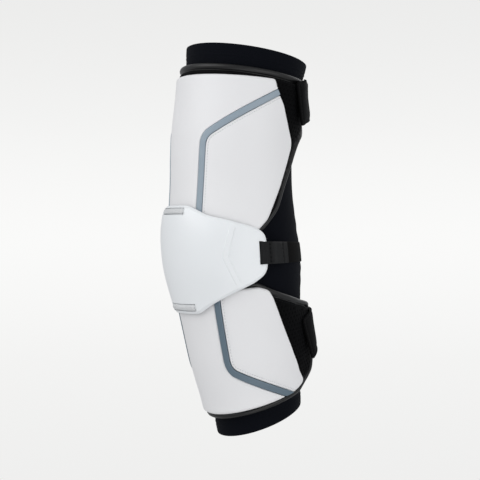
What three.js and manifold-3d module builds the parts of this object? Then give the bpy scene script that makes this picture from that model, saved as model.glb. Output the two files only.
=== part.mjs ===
// A lacrosse arm pad for one arm, standing as the arm holds it, with the elbow a little bent.
// A knitted sleeve carries two padded bases. Moulded panels with a stripe let in between them
// lie on each base, a hard cap floats over the elbow on webbing loops, and three straps close
// the pad behind the arm. All lengths are millimetres. +Z is up the arm, the elbow's point
// faces -Y, X is the mirror line of the pad, and the origin is the middle of the elbow's bore.
import * as THREE from "three";
import { mergeVertices } from "three/addons/utils/BufferGeometryUtils.js";
import Module from "manifold-3d";

// The sleeve, measured from the middle of the elbow
const UPPER_LENGTH = 183;
const FOREARM_LENGTH = 156;
const UPPER_SETBACK = 6.4;
const FOREARM_SETBACK = 20.5;
const UPPER_TIP_DEG = 8.6;
const FOREARM_TIP_DEG = 21.2;
const COLLAR_RADIUS = 56.5;
const UPPER_ARM_RADIUS = 50.5;
const ELBOW_RADIUS = 55.2;
const CUFF_RADIUS = 41;
const WIDTH_SHARE = 0.93;
const DEPTH_SHARE = 1.03;
const SLEEVE_WALL = 2;

// The padding and what lies on it
const BASE_DEPTH = 6.2;
const PANEL_DEPTH = 3.8;
const PANEL_BEVEL = 4;
const EDGE_SHARE = 0.35;
const WIDEST_BEVEL_SHARE = 0.3;
const PANEL_END_SHARE = 0.45;
const SIDE_SWELL = 5;
const STRIPE_PROUD = 1;
const STRIPE_WIDTH = 5.2;
const STRIPE_BEND_RADIUS = 14;
const SLEEVE_GAP = 1;
const LAYER_GAP = 0.8;
const SEAM_GAP = 0.4;

// Heights of the bases' and panels' ends, above and below the elbow
const UPPER_BASE_TOP = 164.5;
const UPPER_BASE_BOTTOM = 14;
const UPPER_PANEL_TOP = 154;
const UPPER_PANEL_BOTTOM = 19;
const LOWER_BASE_TOP = -25;
const LOWER_BASE_BOTTOM = -138;
const LOWER_PANEL_TOP = -29.5;
const LOWER_PANEL_BOTTOM = -132.5;
const PANEL_TOP_CROWN = 4.4;

// How far round the arm the bases and panels reach, in degrees from the front
const BASE_HALF_ANGLE = 150;
const UPPER_PANEL_HALF_ANGLE = 111;
const LOWER_PANEL_HALF_ANGLE = 120;
const UPPER_STRIPE_ANGLE = 28.3;
const LOWER_STRIPE_ANGLE = 37.2;

// The elbow cap and the webbing loops that hold it
const CAP_RISE = 40.5;
const CAP_DROP = 47.5;
const CAP_HALF_ANGLE = 79.6;
const CAP_WALL = 2.6;
const CAP_EDGE_WALL = 1.5;
const CAP_STANDOFF = 1.9;
const CAP_DOME = 3.6;
const CAP_SIDE_DIP = 3;
const CAP_BEVEL = 2.5;
const SHOULDER = { top: 5, side: 3, bottom: 2.2 };
const WING_LEVEL = { full: 0.3, none: 0.55 };
const WING_START = 0.4;
const WEBBING = 1.2;
const WEBBING_GAP = 0.3;
const UPPER_LOOP_HALF_WIDTH = 14;
const LOWER_LOOP_HALF_WIDTH = 17;
const LOOP_BAR = 6.4;
const LOOP_LIP = 1.8;
const LOOP_TAIL = 12;
const SLOT_WIDTH = 2.6;
const OUTER_SLOT_WIDTH = 2.2;
const SLOT_MARGIN = 0.8;

// The straps
const STRAP_DEPTH = 2.5;
const STRAP_FLARE = 4;
const UPPER_STRAP_TOP = 159;
const UPPER_STRAP_BOTTOM = 119;
const LOWER_STRAP_TOP = -68;
const LOWER_STRAP_BOTTOM = -111;
const UPPER_STRAP_RISE = 10;
const LOWER_STRAP_RISE = 6;
const ELBOW_STRAP_HALF_WIDTH = 10.5;
const ELASTIC_DEPTH = 1.8;
const ELBOW_TAB_BAR = 4.6;
const ELBOW_TAB_END = 103.6;
const ELASTIC_OVERLAP = 6;

// Fineness of the facets
const ANGLE_STEP = 12;
const HEIGHT_STEP = 24;
const MOST_TURN = 14;
const ARC_STEPS = 2;
const ROW_SPACING = 5;
const STRAP_ROW_STEP = 36;
const CAP_FACET = 11.6;
const CAP_RINGS = [0.42, 0.76];
const ROUNDING = 1e-6;
const MERGE_DISTANCE = 1e-4;

// One row for each section of the sleeve. at: share of the limb's length from the elbow.
// back: share of its setback. tip: share of its rim's tip. elbow and end: how much of the
// elbow's and of the open end's own width the section has, over the limb's plain radius.
const UPPER_SECTIONS = [
  { at: 0, back: 0, tip: 0, elbow: 1, end: 0 },
  { at: 0.13, back: -0.25, tip: 0.14, elbow: 0.64, end: 0 },
  { at: 0.34, back: -0.47, tip: 0.29, elbow: 0, end: 0 },
  { at: 0.59, back: -0.41, tip: 0.53, elbow: 0, end: 0.03 },
  { at: 0.755, back: 0.03, tip: 0.75, elbow: 0, end: 0.35 },
  { at: 0.9, back: 0.56, tip: 0.91, elbow: 0, end: 0.72 },
  { at: 1, back: 1, tip: 1, elbow: 0, end: 1 },
];
const FOREARM_SECTIONS = [
  { at: 1, back: 1, tip: 1, elbow: 0, end: 1 },
  { at: 0.82, back: 0.82, tip: 0.895, elbow: 0.19, end: 0.81 },
  { at: 0.65, back: 0.66, tip: 0.73, elbow: 0.4, end: 0.6 },
  { at: 0.47, back: 0.42, tip: 0.54, elbow: 0.57, end: 0.43 },
  { at: 0.29, back: 0.22, tip: 0.33, elbow: 0.8, end: 0.2 },
  { at: 0.13, back: 0.09, tip: 0.165, elbow: 0.97, end: 0.03 },
];

// How deep the padding is. at: share of the limb's length. deep: share of BASE_DEPTH.
const BASE_DEPTHS = [
  { at: -1, deep: 0.75 },
  { at: -0.85, deep: 0.88 },
  { at: -0.7, deep: 0.95 },
  { at: -0.5, deep: 0.85 },
  { at: -0.16, deep: 0.65 },
  { at: -0.075, deep: 0.92 },
  { at: 0.06, deep: 0.92 },
  { at: 0.1, deep: 1.2 },
  { at: 0.45, deep: 1.2 },
  { at: 0.66, deep: 1 },
  { at: 0.8, deep: 0.86 },
  { at: 1, deep: 0.66 },
];

// How far the bases swell behind the panels. at: share of the limb's length. full: share of
// SIDE_SWELL.
const BASE_SWELLS = [
  { at: -0.74, full: 1 },
  { at: -0.66, full: 0.3 },
  { at: -0.2, full: 0.5 },
  { at: 0.6, full: 0.5 },
  { at: 0.68, full: 0 },
];

// Outlines of the bases and panels, from the bottom up. up: share of the way from the
// piece's bottom to its top. around: share of its half angle.
const UPPER_BASE_OUTLINE = [
  { up: 0, around: 0.47 },
  { up: 0.035, around: 0.535 },
  { up: 0.165, around: 0.65 },
  { up: 0.31, around: 0.72 },
  { up: 0.43, around: 0.785 },
  { up: 0.6, around: 0.885 },
  { up: 0.7, around: 1 },
  { up: 1, around: 1 },
];
const LOWER_BASE_OUTLINE = [
  { up: 0, around: 0.8 },
  { up: 0.11, around: 0.93 },
  { up: 0.22, around: 1 },
  { up: 0.74, around: 1 },
  { up: 0.8, around: 0.83 },
  { up: 0.88, around: 0.665 },
  { up: 0.94, around: 0.557 },
  { up: 1, around: 0.48 },
];
const UPPER_PANEL_OUTLINE = [
  { up: 0, around: 0.66 },
  { up: 0.08, around: 0.745 },
  { up: 0.3, around: 0.873 },
  { up: 0.455, around: 0.945 },
  { up: 0.58, around: 1 },
  { up: 0.63, around: 1 },
  { up: 0.74, around: 0.955 },
  { up: 0.86, around: 0.9 },
  { up: 1, around: 0.79 },
];
const LOWER_PANEL_OUTLINE = [
  { up: 0, around: 0.88 },
  { up: 0.025, around: 0.975 },
  { up: 0.065, around: 1 },
  { up: 0.18, around: 0.921 },
  { up: 0.36, around: 0.848 },
  { up: 0.655, around: 0.767 },
  { up: 0.89, around: 0.705 },
  { up: 0.955, around: 0.667 },
  { up: 1, around: 0.554 },
];

// Corners of the stripes' middle lines. around: share of the stripe's own angle at its bend.
// up: share of the way from the panels' elbow end to their outer end.
const UPPER_STRIPE_PATH = [
  { around: 0.855, up: 0 },
  { around: 1, up: 0.608 },
  { around: 3.3, up: 0.945 },
];
const LOWER_STRIPE_PATH = [
  { around: 1, up: 0 },
  { around: 1, up: 0.625 },
  { around: 2.53, up: 1 },
];

// The cap's outline from the middle of its top round one side. around: share of its half
// angle. up: share of its rise, or of its drop where it is negative.
const CAP_OUTLINE = [
  { around: 0, up: 1 },
  { around: 0.19, up: 1 },
  { around: 0.29, up: 0.93 },
  { around: 0.42, up: 0.79 },
  { around: 0.64, up: 0.69 },
  { around: 0.9, up: 0.54 },
  { around: 0.98, up: 0.42 },
  { around: 1, up: 0.25 },
  { around: 1, up: -0.27 },
  { around: 0.96, up: -0.4 },
  { around: 0.84, up: -0.54 },
  { around: 0.62, up: -0.69 },
  { around: 0.36, up: -0.89 },
  { around: 0.25, up: -1 },
  { around: 0, up: -1 },
];

// Front edges of the upper and lower straps, as angles at their top and bottom
const UPPER_STRAP_FRONT = { top: 111, bottom: 123 };
const LOWER_STRAP_FRONT = { top: 121, bottom: 128 };

// Where the panels get thinner, as shares of the limb's length, and where the bases swell
// behind the panels, as angles
const PANEL_TAPER = { from: 0.55, to: 0.8 };
const SWELL_TURN = { from: 120, to: 140 };

const wasm = await Module();
wasm.setup();

const { degToRad, lerp, smoothstep } = THREE.MathUtils;

// Straight-line reading of a table: the value in column to for the value x in column from.
function readTable(table, from, to, x) {
  const last = table.length - 1;
  if (x <= table[0][from]) return table[0][to];
  if (x >= table[last][from]) return table[last][to];
  const i = table.findIndex((row) => row[from] >= x);
  const share = (x - table[i - 1][from]) / (table[i][from] - table[i - 1][from]);
  return lerp(table[i - 1][to], table[i][to], share);
}

// The sections in millimetres and degrees, from the cuff to the collar.
const SECTIONS = [
  ...FOREARM_SECTIONS.map((row) => ({
    height: -row.at * FOREARM_LENGTH,
    back: row.back * FOREARM_SETBACK,
    tip: -row.tip * FOREARM_TIP_DEG,
    radius: row.elbow * ELBOW_RADIUS + row.end * CUFF_RADIUS,
  })),
  ...UPPER_SECTIONS.map((row) => ({
    height: row.at * UPPER_LENGTH,
    back: row.back * UPPER_SETBACK,
    tip: row.tip * UPPER_TIP_DEG,
    radius:
      UPPER_ARM_RADIUS +
      row.elbow * (ELBOW_RADIUS - UPPER_ARM_RADIUS) +
      row.end * (COLLAR_RADIUS - UPPER_ARM_RADIUS),
  })),
];

// A column's slope at section i, from its two neighbours.
function slopeAt(i, column) {
  const before = SECTIONS[Math.max(i - 1, 0)];
  const after = SECTIONS[Math.min(i + 1, SECTIONS.length - 1)];
  return (after[column] - before[column]) / (after.height - before.height);
}

// The section at any height, on smooth curves through the table's rows.
function sectionAt(height) {
  const last = SECTIONS.length - 2;
  const found = SECTIONS.findIndex((row) => row.height > height) - 1;
  const i = found < 0 ? (height < 0 ? 0 : last) : found;
  const span = SECTIONS[i + 1].height - SECTIONS[i].height;
  const t = (height - SECTIONS[i].height) / span;
  const curve = (column) =>
    (2 * t ** 3 - 3 * t ** 2 + 1) * SECTIONS[i][column] +
    (t ** 3 - 2 * t ** 2 + t) * span * slopeAt(i, column) +
    (3 * t ** 2 - 2 * t ** 3) * SECTIONS[i + 1][column] +
    (t ** 3 - t ** 2) * span * slopeAt(i + 1, column);
  return { back: curve("back"), tip: degToRad(curve("tip")), radius: curve("radius") };
}

// The point at an angle from the front, a height on the arm and a depth over the sleeve.
function place(angle, height, depth) {
  const section = sectionAt(height);
  const turn = degToRad(angle);
  const width = section.radius * WIDTH_SHARE;
  const reach = section.radius * DEPTH_SHARE;
  const normal = new THREE.Vector2(Math.sin(turn) / width, -Math.cos(turn) / reach).normalize();
  const x = width * Math.sin(turn) + depth * normal.x;
  const y = -reach * Math.cos(turn) + depth * normal.y;
  return [
    x,
    section.back + y * Math.cos(section.tip),
    height - y * Math.sin(section.tip),
  ];
}

// Degrees round the panels that a length takes up.
const PANEL_RADIUS = UPPER_ARM_RADIUS + BASE_DEPTH + PANEL_DEPTH;
const MM_PER_DEGREE = degToRad(PANEL_RADIUS);

// A mesh's geometry from points and triangles, with its faces turned outwards.
function geometryOf(points, triangles) {
  const volume = triangles.reduce((sum, [a, b, c]) => {
    const [p, q, r] = [a, b, c].map((i) => new THREE.Vector3(...points[i]));
    return sum + p.dot(q.cross(r));
  }, 0);
  const turned = volume < 0 ? triangles.map(([a, b, c]) => [a, c, b]) : triangles;
  const geometry = new THREE.BufferGeometry();
  geometry.setAttribute("position", new THREE.Float32BufferAttribute(points.flat(), 3));
  geometry.setIndex(turned.flat());
  return geometry;
}

// A closed skin over a grid of [angle, height, inner depth, outer depth]. A grid that wraps
// joins its last column to its first.
function gridSolid(grid, wraps) {
  const rows = grid.length;
  const columns = grid[0].length;
  const outer = grid.flat().map(([angle, height, , depth]) => place(angle, height, depth));
  const inner = grid.flat().map(([angle, height, depth]) => place(angle, height, depth));
  const under = outer.length;
  const triangles = [];
  const quad = (a, b, c, d) => triangles.push([a, b, c], [a, c, d]);
  const at = (row, column) => row * columns + (column % columns);
  const steps = wraps ? columns : columns - 1;
  const angles = grid.flat().map(([angle]) => angle);
  const spread = (a, b) => Math.abs(angles[a] - angles[b]);
  for (let row = 0; row < rows - 1; row++) {
    for (let column = 0; column < steps; column++) {
      const [a, b] = [at(row, column), at(row, column + 1)];
      const [c, d] = [at(row + 1, column + 1), at(row + 1, column)];
      const corners = spread(a, c) <= spread(b, d) ? [a, b, c, d] : [b, c, d, a];
      quad(...corners);
      quad(...corners.reverse().map((i) => i + under));
    }
  }
  for (let column = 0; column < steps; column++) {
    const top = rows - 1;
    quad(at(0, column + 1), at(0, column), at(0, column) + under, at(0, column + 1) + under);
    quad(at(top, column), at(top, column + 1), at(top, column + 1) + under, at(top, column) + under);
  }
  for (let row = 0; row < rows - 1 && !wraps; row++) {
    const right = columns - 1;
    quad(at(row, 0), at(row + 1, 0), at(row + 1, 0) + under, at(row, 0) + under);
    quad(at(row + 1, right), at(row, right), at(row, right) + under, at(row + 1, right) + under);
  }
  return geometryOf([...outer, ...inner], triangles);
}

// Values from the lowest to the highest break, with no step over the given one, and no step
// over which the given angle turns too far.
function subdivided(breaks, step, angleAt = () => 0) {
  const sorted = [...new Set(breaks)].sort((a, b) => a - b);
  return sorted.flatMap((low, i) => {
    if (i === sorted.length - 1) return [low];
    const high = sorted[i + 1];
    const turn = Math.abs(angleAt(high) - angleAt(low));
    const parts = Math.ceil(Math.max((high - low) / step, turn / MOST_TURN));
    return Array.from({ length: parts }, (_, k) => lerp(low, high, k / parts));
  });
}

// Shares across a width from 0 to 1, with one at the bevel inside each edge.
function acrossShares(count, bevelShare) {
  const inset = Math.min(bevelShare, WIDEST_BEVEL_SHARE);
  const middle = Array.from({ length: count + 1 }, (_, i) => lerp(inset, 1 - inset, i / count));
  return [0, ...middle, 1];
}

// A bevelled sheet between two side lines. left and right give the angle at a height, inner
// and outer the depths over the sleeve. corners are the heights that the side lines need a row
// at, and bends the heights that get one where no other row is near.
function sheetSolid({ bottom, top, corners, bends, left, right, inner, outer, crown }) {
  const ends = [bottom, bottom + PANEL_BEVEL, top - PANEL_BEVEL, top];
  const within = (list) => list.filter((height) => height > bottom && height < top);
  const firm = [...ends, ...within(corners)];
  const far = (height) => firm.every((other) => Math.abs(other - height) > ROW_SPACING);
  const heights = subdivided([...firm, ...within(bends).filter(far)], HEIGHT_STEP, right);
  const widest = Math.max(...heights.map((height) => right(height) - left(height)));
  const count = Math.max(2, Math.ceil(widest / ANGLE_STEP));
  const grid = heights.map((height) => {
    const width = (right(height) - left(height)) * MM_PER_DEGREE;
    return acrossShares(count, PANEL_BEVEL / width).map((share) => {
      const angle = lerp(left(height), right(height), share);
      const raised = height + (crown ? crown(angle, height) : 0);
      const side = Math.min(share, 1 - share) * width;
      const inside = Math.min(side, height - bottom, top - height) / PANEL_BEVEL;
      const full = lerp(EDGE_SHARE, 1, Math.min(inside, 1));
      const low = inner(angle, raised);
      return [angle, raised, low, lerp(low, outer(angle, raised), full)];
    });
  });
  return gridSolid(grid, false);
}

// Depths of the layers over the sleeve.
const limbShare = (height) => height / (height < 0 ? FOREARM_LENGTH : UPPER_LENGTH);
const baseTop = (height) =>
  SLEEVE_GAP + BASE_DEPTH * readTable(BASE_DEPTHS, "at", "deep", limbShare(height));
const panelSeat = (height) => baseTop(height) + LAYER_GAP;
const panelFace = (height) => {
  const taper = smoothstep(Math.abs(limbShare(height)), PANEL_TAPER.from, PANEL_TAPER.to);
  return panelSeat(height) + PANEL_DEPTH * lerp(1, PANEL_END_SHARE, taper);
};
const sideSwell = (angle, height) => {
  const fromFront = Math.min(Math.abs(angle), 360 - Math.abs(angle));
  const full = readTable(BASE_SWELLS, "at", "full", limbShare(height));
  return SIDE_SWELL * full * smoothstep(fromFront, SWELL_TURN.from, SWELL_TURN.to);
};

// An outline as real heights and angles, and its angle at a height.
function outlineOf(table, bottom, top, halfAngle) {
  const rows = table.map(({ up, around }) => ({
    height: lerp(bottom, top, up),
    angle: around * halfAngle,
  }));
  return {
    breaks: rows.map((row) => row.height),
    angleAt: (height) => readTable(rows, "height", "angle", height),
  };
}

const upperPanelOutline = outlineOf(
  UPPER_PANEL_OUTLINE,
  UPPER_PANEL_BOTTOM,
  UPPER_PANEL_TOP,
  UPPER_PANEL_HALF_ANGLE,
);
const lowerPanelOutline = outlineOf(
  LOWER_PANEL_OUTLINE,
  LOWER_PANEL_BOTTOM,
  LOWER_PANEL_TOP,
  LOWER_PANEL_HALF_ANGLE,
);

function sleeve() {
  const breaks = SECTIONS.map((row) => row.height);
  const heights = subdivided([breaks[0], 0, breaks[breaks.length - 1]], HEIGHT_STEP);
  const angles = Array.from({ length: 360 / ANGLE_STEP }, (_, i) => i * ANGLE_STEP);
  const grid = heights.map((height) => angles.map((angle) => [angle, height, -SLEEVE_WALL, 0]));
  return gridSolid(grid, true);
}

function basePad(table, bottom, top) {
  const outline = outlineOf(table, bottom, top, BASE_HALF_ANGLE);
  return sheetSolid({
    bottom,
    top,
    corners: [],
    bends: outline.breaks,
    left: (height) => -outline.angleAt(height),
    right: outline.angleAt,
    inner: () => SLEEVE_GAP,
    outer: (angle, height) => baseTop(height) + sideSwell(angle, height),
  });
}

// A stripe's middle line as points in millimetres round and up the panels, with a round bend.
function stripeLine(path, stripeAngle, from, to) {
  const [start, corner, end] = path.map(
    ({ around, up }) =>
      new THREE.Vector2(around * stripeAngle * MM_PER_DEGREE, lerp(from, to, up)),
  );
  const inward = start.clone().sub(corner).normalize();
  const outward = end.clone().sub(corner).normalize();
  const halfBend = Math.acos(inward.dot(outward)) / 2;
  const reach = STRIPE_BEND_RADIUS / Math.tan(halfBend);
  const middle = inward.clone().add(outward).normalize();
  const centre = corner.clone().addScaledVector(middle, STRIPE_BEND_RADIUS / Math.sin(halfBend));
  const arcStart = corner.clone().addScaledVector(inward, reach).sub(centre);
  const turn = Math.PI - 2 * halfBend;
  const side = Math.sign(inward.cross(outward));
  const arc = Array.from({ length: ARC_STEPS + 1 }, (_, i) =>
    arcStart.clone().rotateAround(new THREE.Vector2(), (-side * turn * i) / ARC_STEPS).add(centre),
  );
  const steps = Math.ceil(arc[ARC_STEPS].distanceTo(end) / (ANGLE_STEP * MM_PER_DEGREE));
  const run = Array.from({ length: steps }, (_, i) =>
    arc[ARC_STEPS].clone().lerp(end, (i + 1) / steps),
  );
  const climb = Math.ceil(start.distanceTo(arc[0]) / HEIGHT_STEP);
  const rise = Array.from({ length: climb }, (_, i) => start.clone().lerp(arc[0], i / climb));
  return [...rise, ...arc, ...run];
}

// The line moved sideways by a distance, as angles and heights.
function besideLine(line, distance) {
  return line.map((point, i) => {
    const before = line[Math.max(i - 1, 0)];
    const after = line[Math.min(i + 1, line.length - 1)];
    const along = after.clone().sub(before).normalize();
    const moved = point.clone().add(new THREE.Vector2(along.y, -along.x).multiplyScalar(distance));
    return { angle: moved.x / MM_PER_DEGREE, height: moved.y };
  });
}

function stripe(line) {
  const side = Math.sign(line[line.length - 1].y);
  const edges = [-1, 1].map((hand) => besideLine(line, (hand * side * STRIPE_WIDTH) / 2));
  const grid = line.map((_, i) =>
    edges.map((points) => {
      const { angle, height } = points[i];
      return [angle, height, panelSeat(height), panelFace(height) + STRIPE_PROUD];
    }),
  );
  return gridSolid(grid, false);
}

// The panels beside a stripe, for the arm's right side or the whole front.
function panels(outline, line, rise) {
  const side = Math.sign(line[line.length - 1].y);
  const away = STRIPE_WIDTH / 2 + SEAM_GAP;
  const upward = (points) => [...points].sort((a, b) => a.height - b.height);
  const near = upward(besideLine(line, -side * away));
  const far = upward(besideLine(line, side * away));
  const low = Math.min(...outline.breaks);
  const high = Math.max(...outline.breaks);
  const angleOn = (points, height) => readTable(points, "height", "angle", height);
  const outerEnd = side > 0 ? near[near.length - 1].height : near[0].height;
  const beyond = (height) => (side > 0 ? height >= outerEnd : height <= outerEnd);
  const middleEdge = (height) => (beyond(height) ? outline.angleAt(height) : angleOn(near, height));
  const depths = {
    inner: (angle, height) => panelSeat(height),
    outer: (angle, height) => panelFace(height),
  };
  const centre = sheetSolid({
    ...depths,
    bottom: low,
    top: high,
    corners: near.map((point) => point.height),
    bends: outline.breaks.filter(beyond),
    left: (height) => -middleEdge(height),
    right: middleEdge,
    crown: (angle, height) => rise(angle) * smoothstep(height, outerEnd, high),
  });
  const room = (height) => (outline.angleAt(height) - angleOn(far, height)) * MM_PER_DEGREE;
  let tip = side > 0 ? high : low;
  while (room(tip) < 2 * PANEL_BEVEL) tip -= side;
  const flank = sheetSolid({
    ...depths,
    bottom: side > 0 ? low : tip,
    top: side > 0 ? tip : high,
    corners: far.map((point) => point.height),
    bends: outline.breaks,
    left: (height) => angleOn(far, height),
    right: outline.angleAt,
  });
  return { centre, flank };
}

// The cap's outline in shares, all the way round, with no side longer than a facet.
const CAP_LOOP = [
  ...CAP_OUTLINE,
  ...CAP_OUTLINE.slice(1, -1)
    .reverse()
    .map(({ around, up }) => ({ around: -around, up })),
].flatMap((point, i, corners) => {
  const next = corners[(i + 1) % corners.length];
  const across = (next.around - point.around) * CAP_HALF_ANGLE * MM_PER_DEGREE;
  const parts = Math.ceil(Math.hypot(across, (next.up - point.up) * CAP_RISE) / CAP_FACET);
  return Array.from({ length: parts }, (_, k) => ({
    around: lerp(point.around, next.around, k / parts),
    up: lerp(point.up, next.up, k / parts),
  }));
});

// The share of the way from the cap's middle to its outline that a direction's rim lies at.
function rimShare(direction) {
  const x = Math.sin(direction);
  const y = Math.cos(direction);
  for (let i = 0; i < CAP_LOOP.length; i++) {
    const a = CAP_LOOP[i];
    const b = CAP_LOOP[(i + 1) % CAP_LOOP.length];
    const alongX = b.around - a.around;
    const alongY = b.up - a.up;
    const cross = x * alongY - y * alongX;
    const share = (a.up * x - a.around * y) / -cross;
    const far = (a.around * alongY - a.up * alongX) / cross;
    const meets = share >= -ROUNDING && share <= 1 + ROUNDING && far > 0;
    if (Math.abs(cross) > ROUNDING && meets) return far;
  }
  return 1;
}

// Depths of the cap's two faces at a share of the way out in a direction.
function capFaces(direction, share) {
  const up = Math.cos(direction);
  const shoulder = lerp(SHOULDER.side, up > 0 ? SHOULDER.top : SHOULDER.bottom, up * up);
  const far = rimShare(direction) * share;
  const height = far * up * (up > 0 ? CAP_RISE : CAP_DROP);
  const away = Math.abs(height) / CAP_RISE;
  const level = 1 - smoothstep(away, WING_LEVEL.full, WING_LEVEL.none);
  const out = smoothstep(far * Math.abs(Math.sin(direction)), WING_START, 1);
  const dip = CAP_SIDE_DIP * level * out;
  const inner = panelFace(height) + CAP_STANDOFF - dip + CAP_DOME * (1 - share ** shoulder);
  const angle = far * Math.sin(direction) * CAP_HALF_ANGLE;
  return { angle, height, inner, outer: inner + CAP_WALL };
}

// The cap's faces at an angle and height.
function capAt(angle, height) {
  const around = angle / CAP_HALF_ANGLE;
  const up = height / (height < 0 ? CAP_DROP : CAP_RISE);
  const direction = Math.atan2(around, up);
  return capFaces(direction, Math.hypot(around, up) / rimShare(direction));
}

// A closed body from a flat outline of [a, b] pairs pushed from one value to another, each
// point then put in place by the given function of (a, b, pushed value).
function pushedSolid(outline, from, to, steps, put) {
  const shape = new THREE.Shape(outline.map(([a, b]) => new THREE.Vector2(a, b)));
  const made = new THREE.ExtrudeGeometry(shape, { depth: 1, steps, bevelEnabled: false });
  made.deleteAttribute("normal");
  made.deleteAttribute("uv");
  const merged = mergeVertices(made, MERGE_DISTANCE);
  const position = merged.getAttribute("position");
  const points = Array.from({ length: position.count }, (_, i) =>
    put(position.getX(i), position.getY(i), lerp(from, to, position.getZ(i))),
  );
  const index = Array.from(merged.index.array);
  const triangles = Array.from({ length: index.length / 3 }, (_, i) =>
    index.slice(3 * i, 3 * i + 3),
  );
  return geometryOf(points, triangles);
}

// The slots' middles: on the centre line above and below, and in each wing.
const UPPER_SLOT = CAP_RISE - LOOP_BAR - SLOT_WIDTH / 2;
const LOWER_SLOT = -CAP_DROP + LOOP_BAR + SLOT_WIDTH / 2;
const WING_SLOT = CAP_HALF_ANGLE - (ELBOW_TAB_BAR + SLOT_WIDTH / 2) / MM_PER_DEGREE;
const UPPER_OUTER_SLOT = CAP_RISE - LOOP_LIP - OUTER_SLOT_WIDTH / 2;
const LOWER_OUTER_SLOT = -CAP_DROP + LOOP_LIP + OUTER_SLOT_WIDTH / 2;
const CUTTER_INNER = SLEEVE_GAP + PANEL_DEPTH;
const CUTTER_OUTER = CUTTER_INNER + 2 * BASE_DEPTH + CAP_STANDOFF + CAP_DOME + CAP_WALL;

function solidOf(geometry) {
  const position = geometry.getAttribute("position");
  return new wasm.Manifold(
    new wasm.Mesh({
      numProp: 3,
      vertProperties: position.array,
      triVerts: new Uint32Array(geometry.index.array),
    }),
  );
}

function geometryFrom(solid) {
  const mesh = solid.getMesh();
  const geometry = new THREE.BufferGeometry();
  geometry.setAttribute("position", new THREE.BufferAttribute(mesh.vertProperties, 3));
  geometry.setIndex(new THREE.BufferAttribute(mesh.triVerts, 1));
  return geometry;
}

// A cutter for a slot between two angles and two heights.
function slotCutter(angles, heights) {
  const box = [
    [angles[0], CUTTER_INNER],
    [angles[1], CUTTER_INNER],
    [angles[1], CUTTER_OUTER],
    [angles[0], CUTTER_OUTER],
  ];
  return pushedSolid(box, heights[0], heights[1], 1, (angle, depth, height) =>
    place(angle, height, depth),
  );
}

function elbowCap() {
  const spokes = CAP_LOOP.map(({ around, up }) => Math.atan2(around, up));
  const bevelShare = 1 - CAP_BEVEL / CAP_RISE;
  const rings = [...CAP_RINGS, bevelShare, 1];
  const points = [];
  const faceOf = { inner: [], outer: [] };
  for (const side of ["inner", "outer"]) {
    const middle = capFaces(0, 0);
    faceOf[side].push(points.push(place(0, 0, middle[side])) - 1);
    for (const ring of rings) {
      for (const spoke of spokes) {
        const face = capFaces(spoke, ring);
        const depth = side === "outer" && ring === 1 ? face.inner + CAP_EDGE_WALL : face[side];
        faceOf[side].push(points.push(place(face.angle, face.height, depth)) - 1);
      }
    }
  }
  const count = spokes.length;
  const at = (side, ring, spoke) => faceOf[side][1 + ring * count + (spoke % count)];
  const triangles = [];
  const last = rings.length - 1;
  for (let spoke = 0; spoke < count; spoke++) {
    triangles.push([faceOf.outer[0], at("outer", 0, spoke + 1), at("outer", 0, spoke)]);
    triangles.push([faceOf.inner[0], at("inner", 0, spoke), at("inner", 0, spoke + 1)]);
    for (let ring = 0; ring < last; ring++) {
      const [a, b] = [at("outer", ring, spoke), at("outer", ring, spoke + 1)];
      const [c, d] = [at("outer", ring + 1, spoke + 1), at("outer", ring + 1, spoke)];
      triangles.push([a, b, c], [a, c, d]);
      const [e, f] = [at("inner", ring, spoke), at("inner", ring, spoke + 1)];
      const [g, h] = [at("inner", ring + 1, spoke + 1), at("inner", ring + 1, spoke)];
      triangles.push([e, g, f], [e, h, g]);
    }
    const [a, b] = [at("outer", last, spoke), at("outer", last, spoke + 1)];
    const [c, d] = [at("inner", last, spoke + 1), at("inner", last, spoke)];
    triangles.push([a, b, c], [a, c, d]);
  }
  const loopSlot = (halfWidth, middle, width) =>
    slotCutter(
      [-1, 1].map((hand) => hand * (halfWidth + SLOT_MARGIN / MM_PER_DEGREE)),
      [middle - width / 2, middle + width / 2],
    );
  const wingSlot = (hand) => {
    const half = SLOT_WIDTH / 2 / MM_PER_DEGREE;
    const reach = ELBOW_STRAP_HALF_WIDTH + SLOT_MARGIN;
    return slotCutter([hand * WING_SLOT - half, hand * WING_SLOT + half], [-reach, reach]);
  };
  const cutters = [
    loopSlot(UPPER_LOOP_HALF_WIDTH, UPPER_SLOT, SLOT_WIDTH),
    loopSlot(UPPER_LOOP_HALF_WIDTH, UPPER_OUTER_SLOT, OUTER_SLOT_WIDTH),
    loopSlot(LOWER_LOOP_HALF_WIDTH, LOWER_SLOT, SLOT_WIDTH),
    loopSlot(LOWER_LOOP_HALF_WIDTH, LOWER_OUTER_SLOT, OUTER_SLOT_WIDTH),
    wingSlot(1),
    wingSlot(-1),
  ];
  const cap = cutters.reduce(
    (solid, cutter) => solid.subtract(solidOf(cutter)),
    solidOf(geometryOf(points, triangles)),
  );
  return geometryFrom(cap);
}

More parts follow.
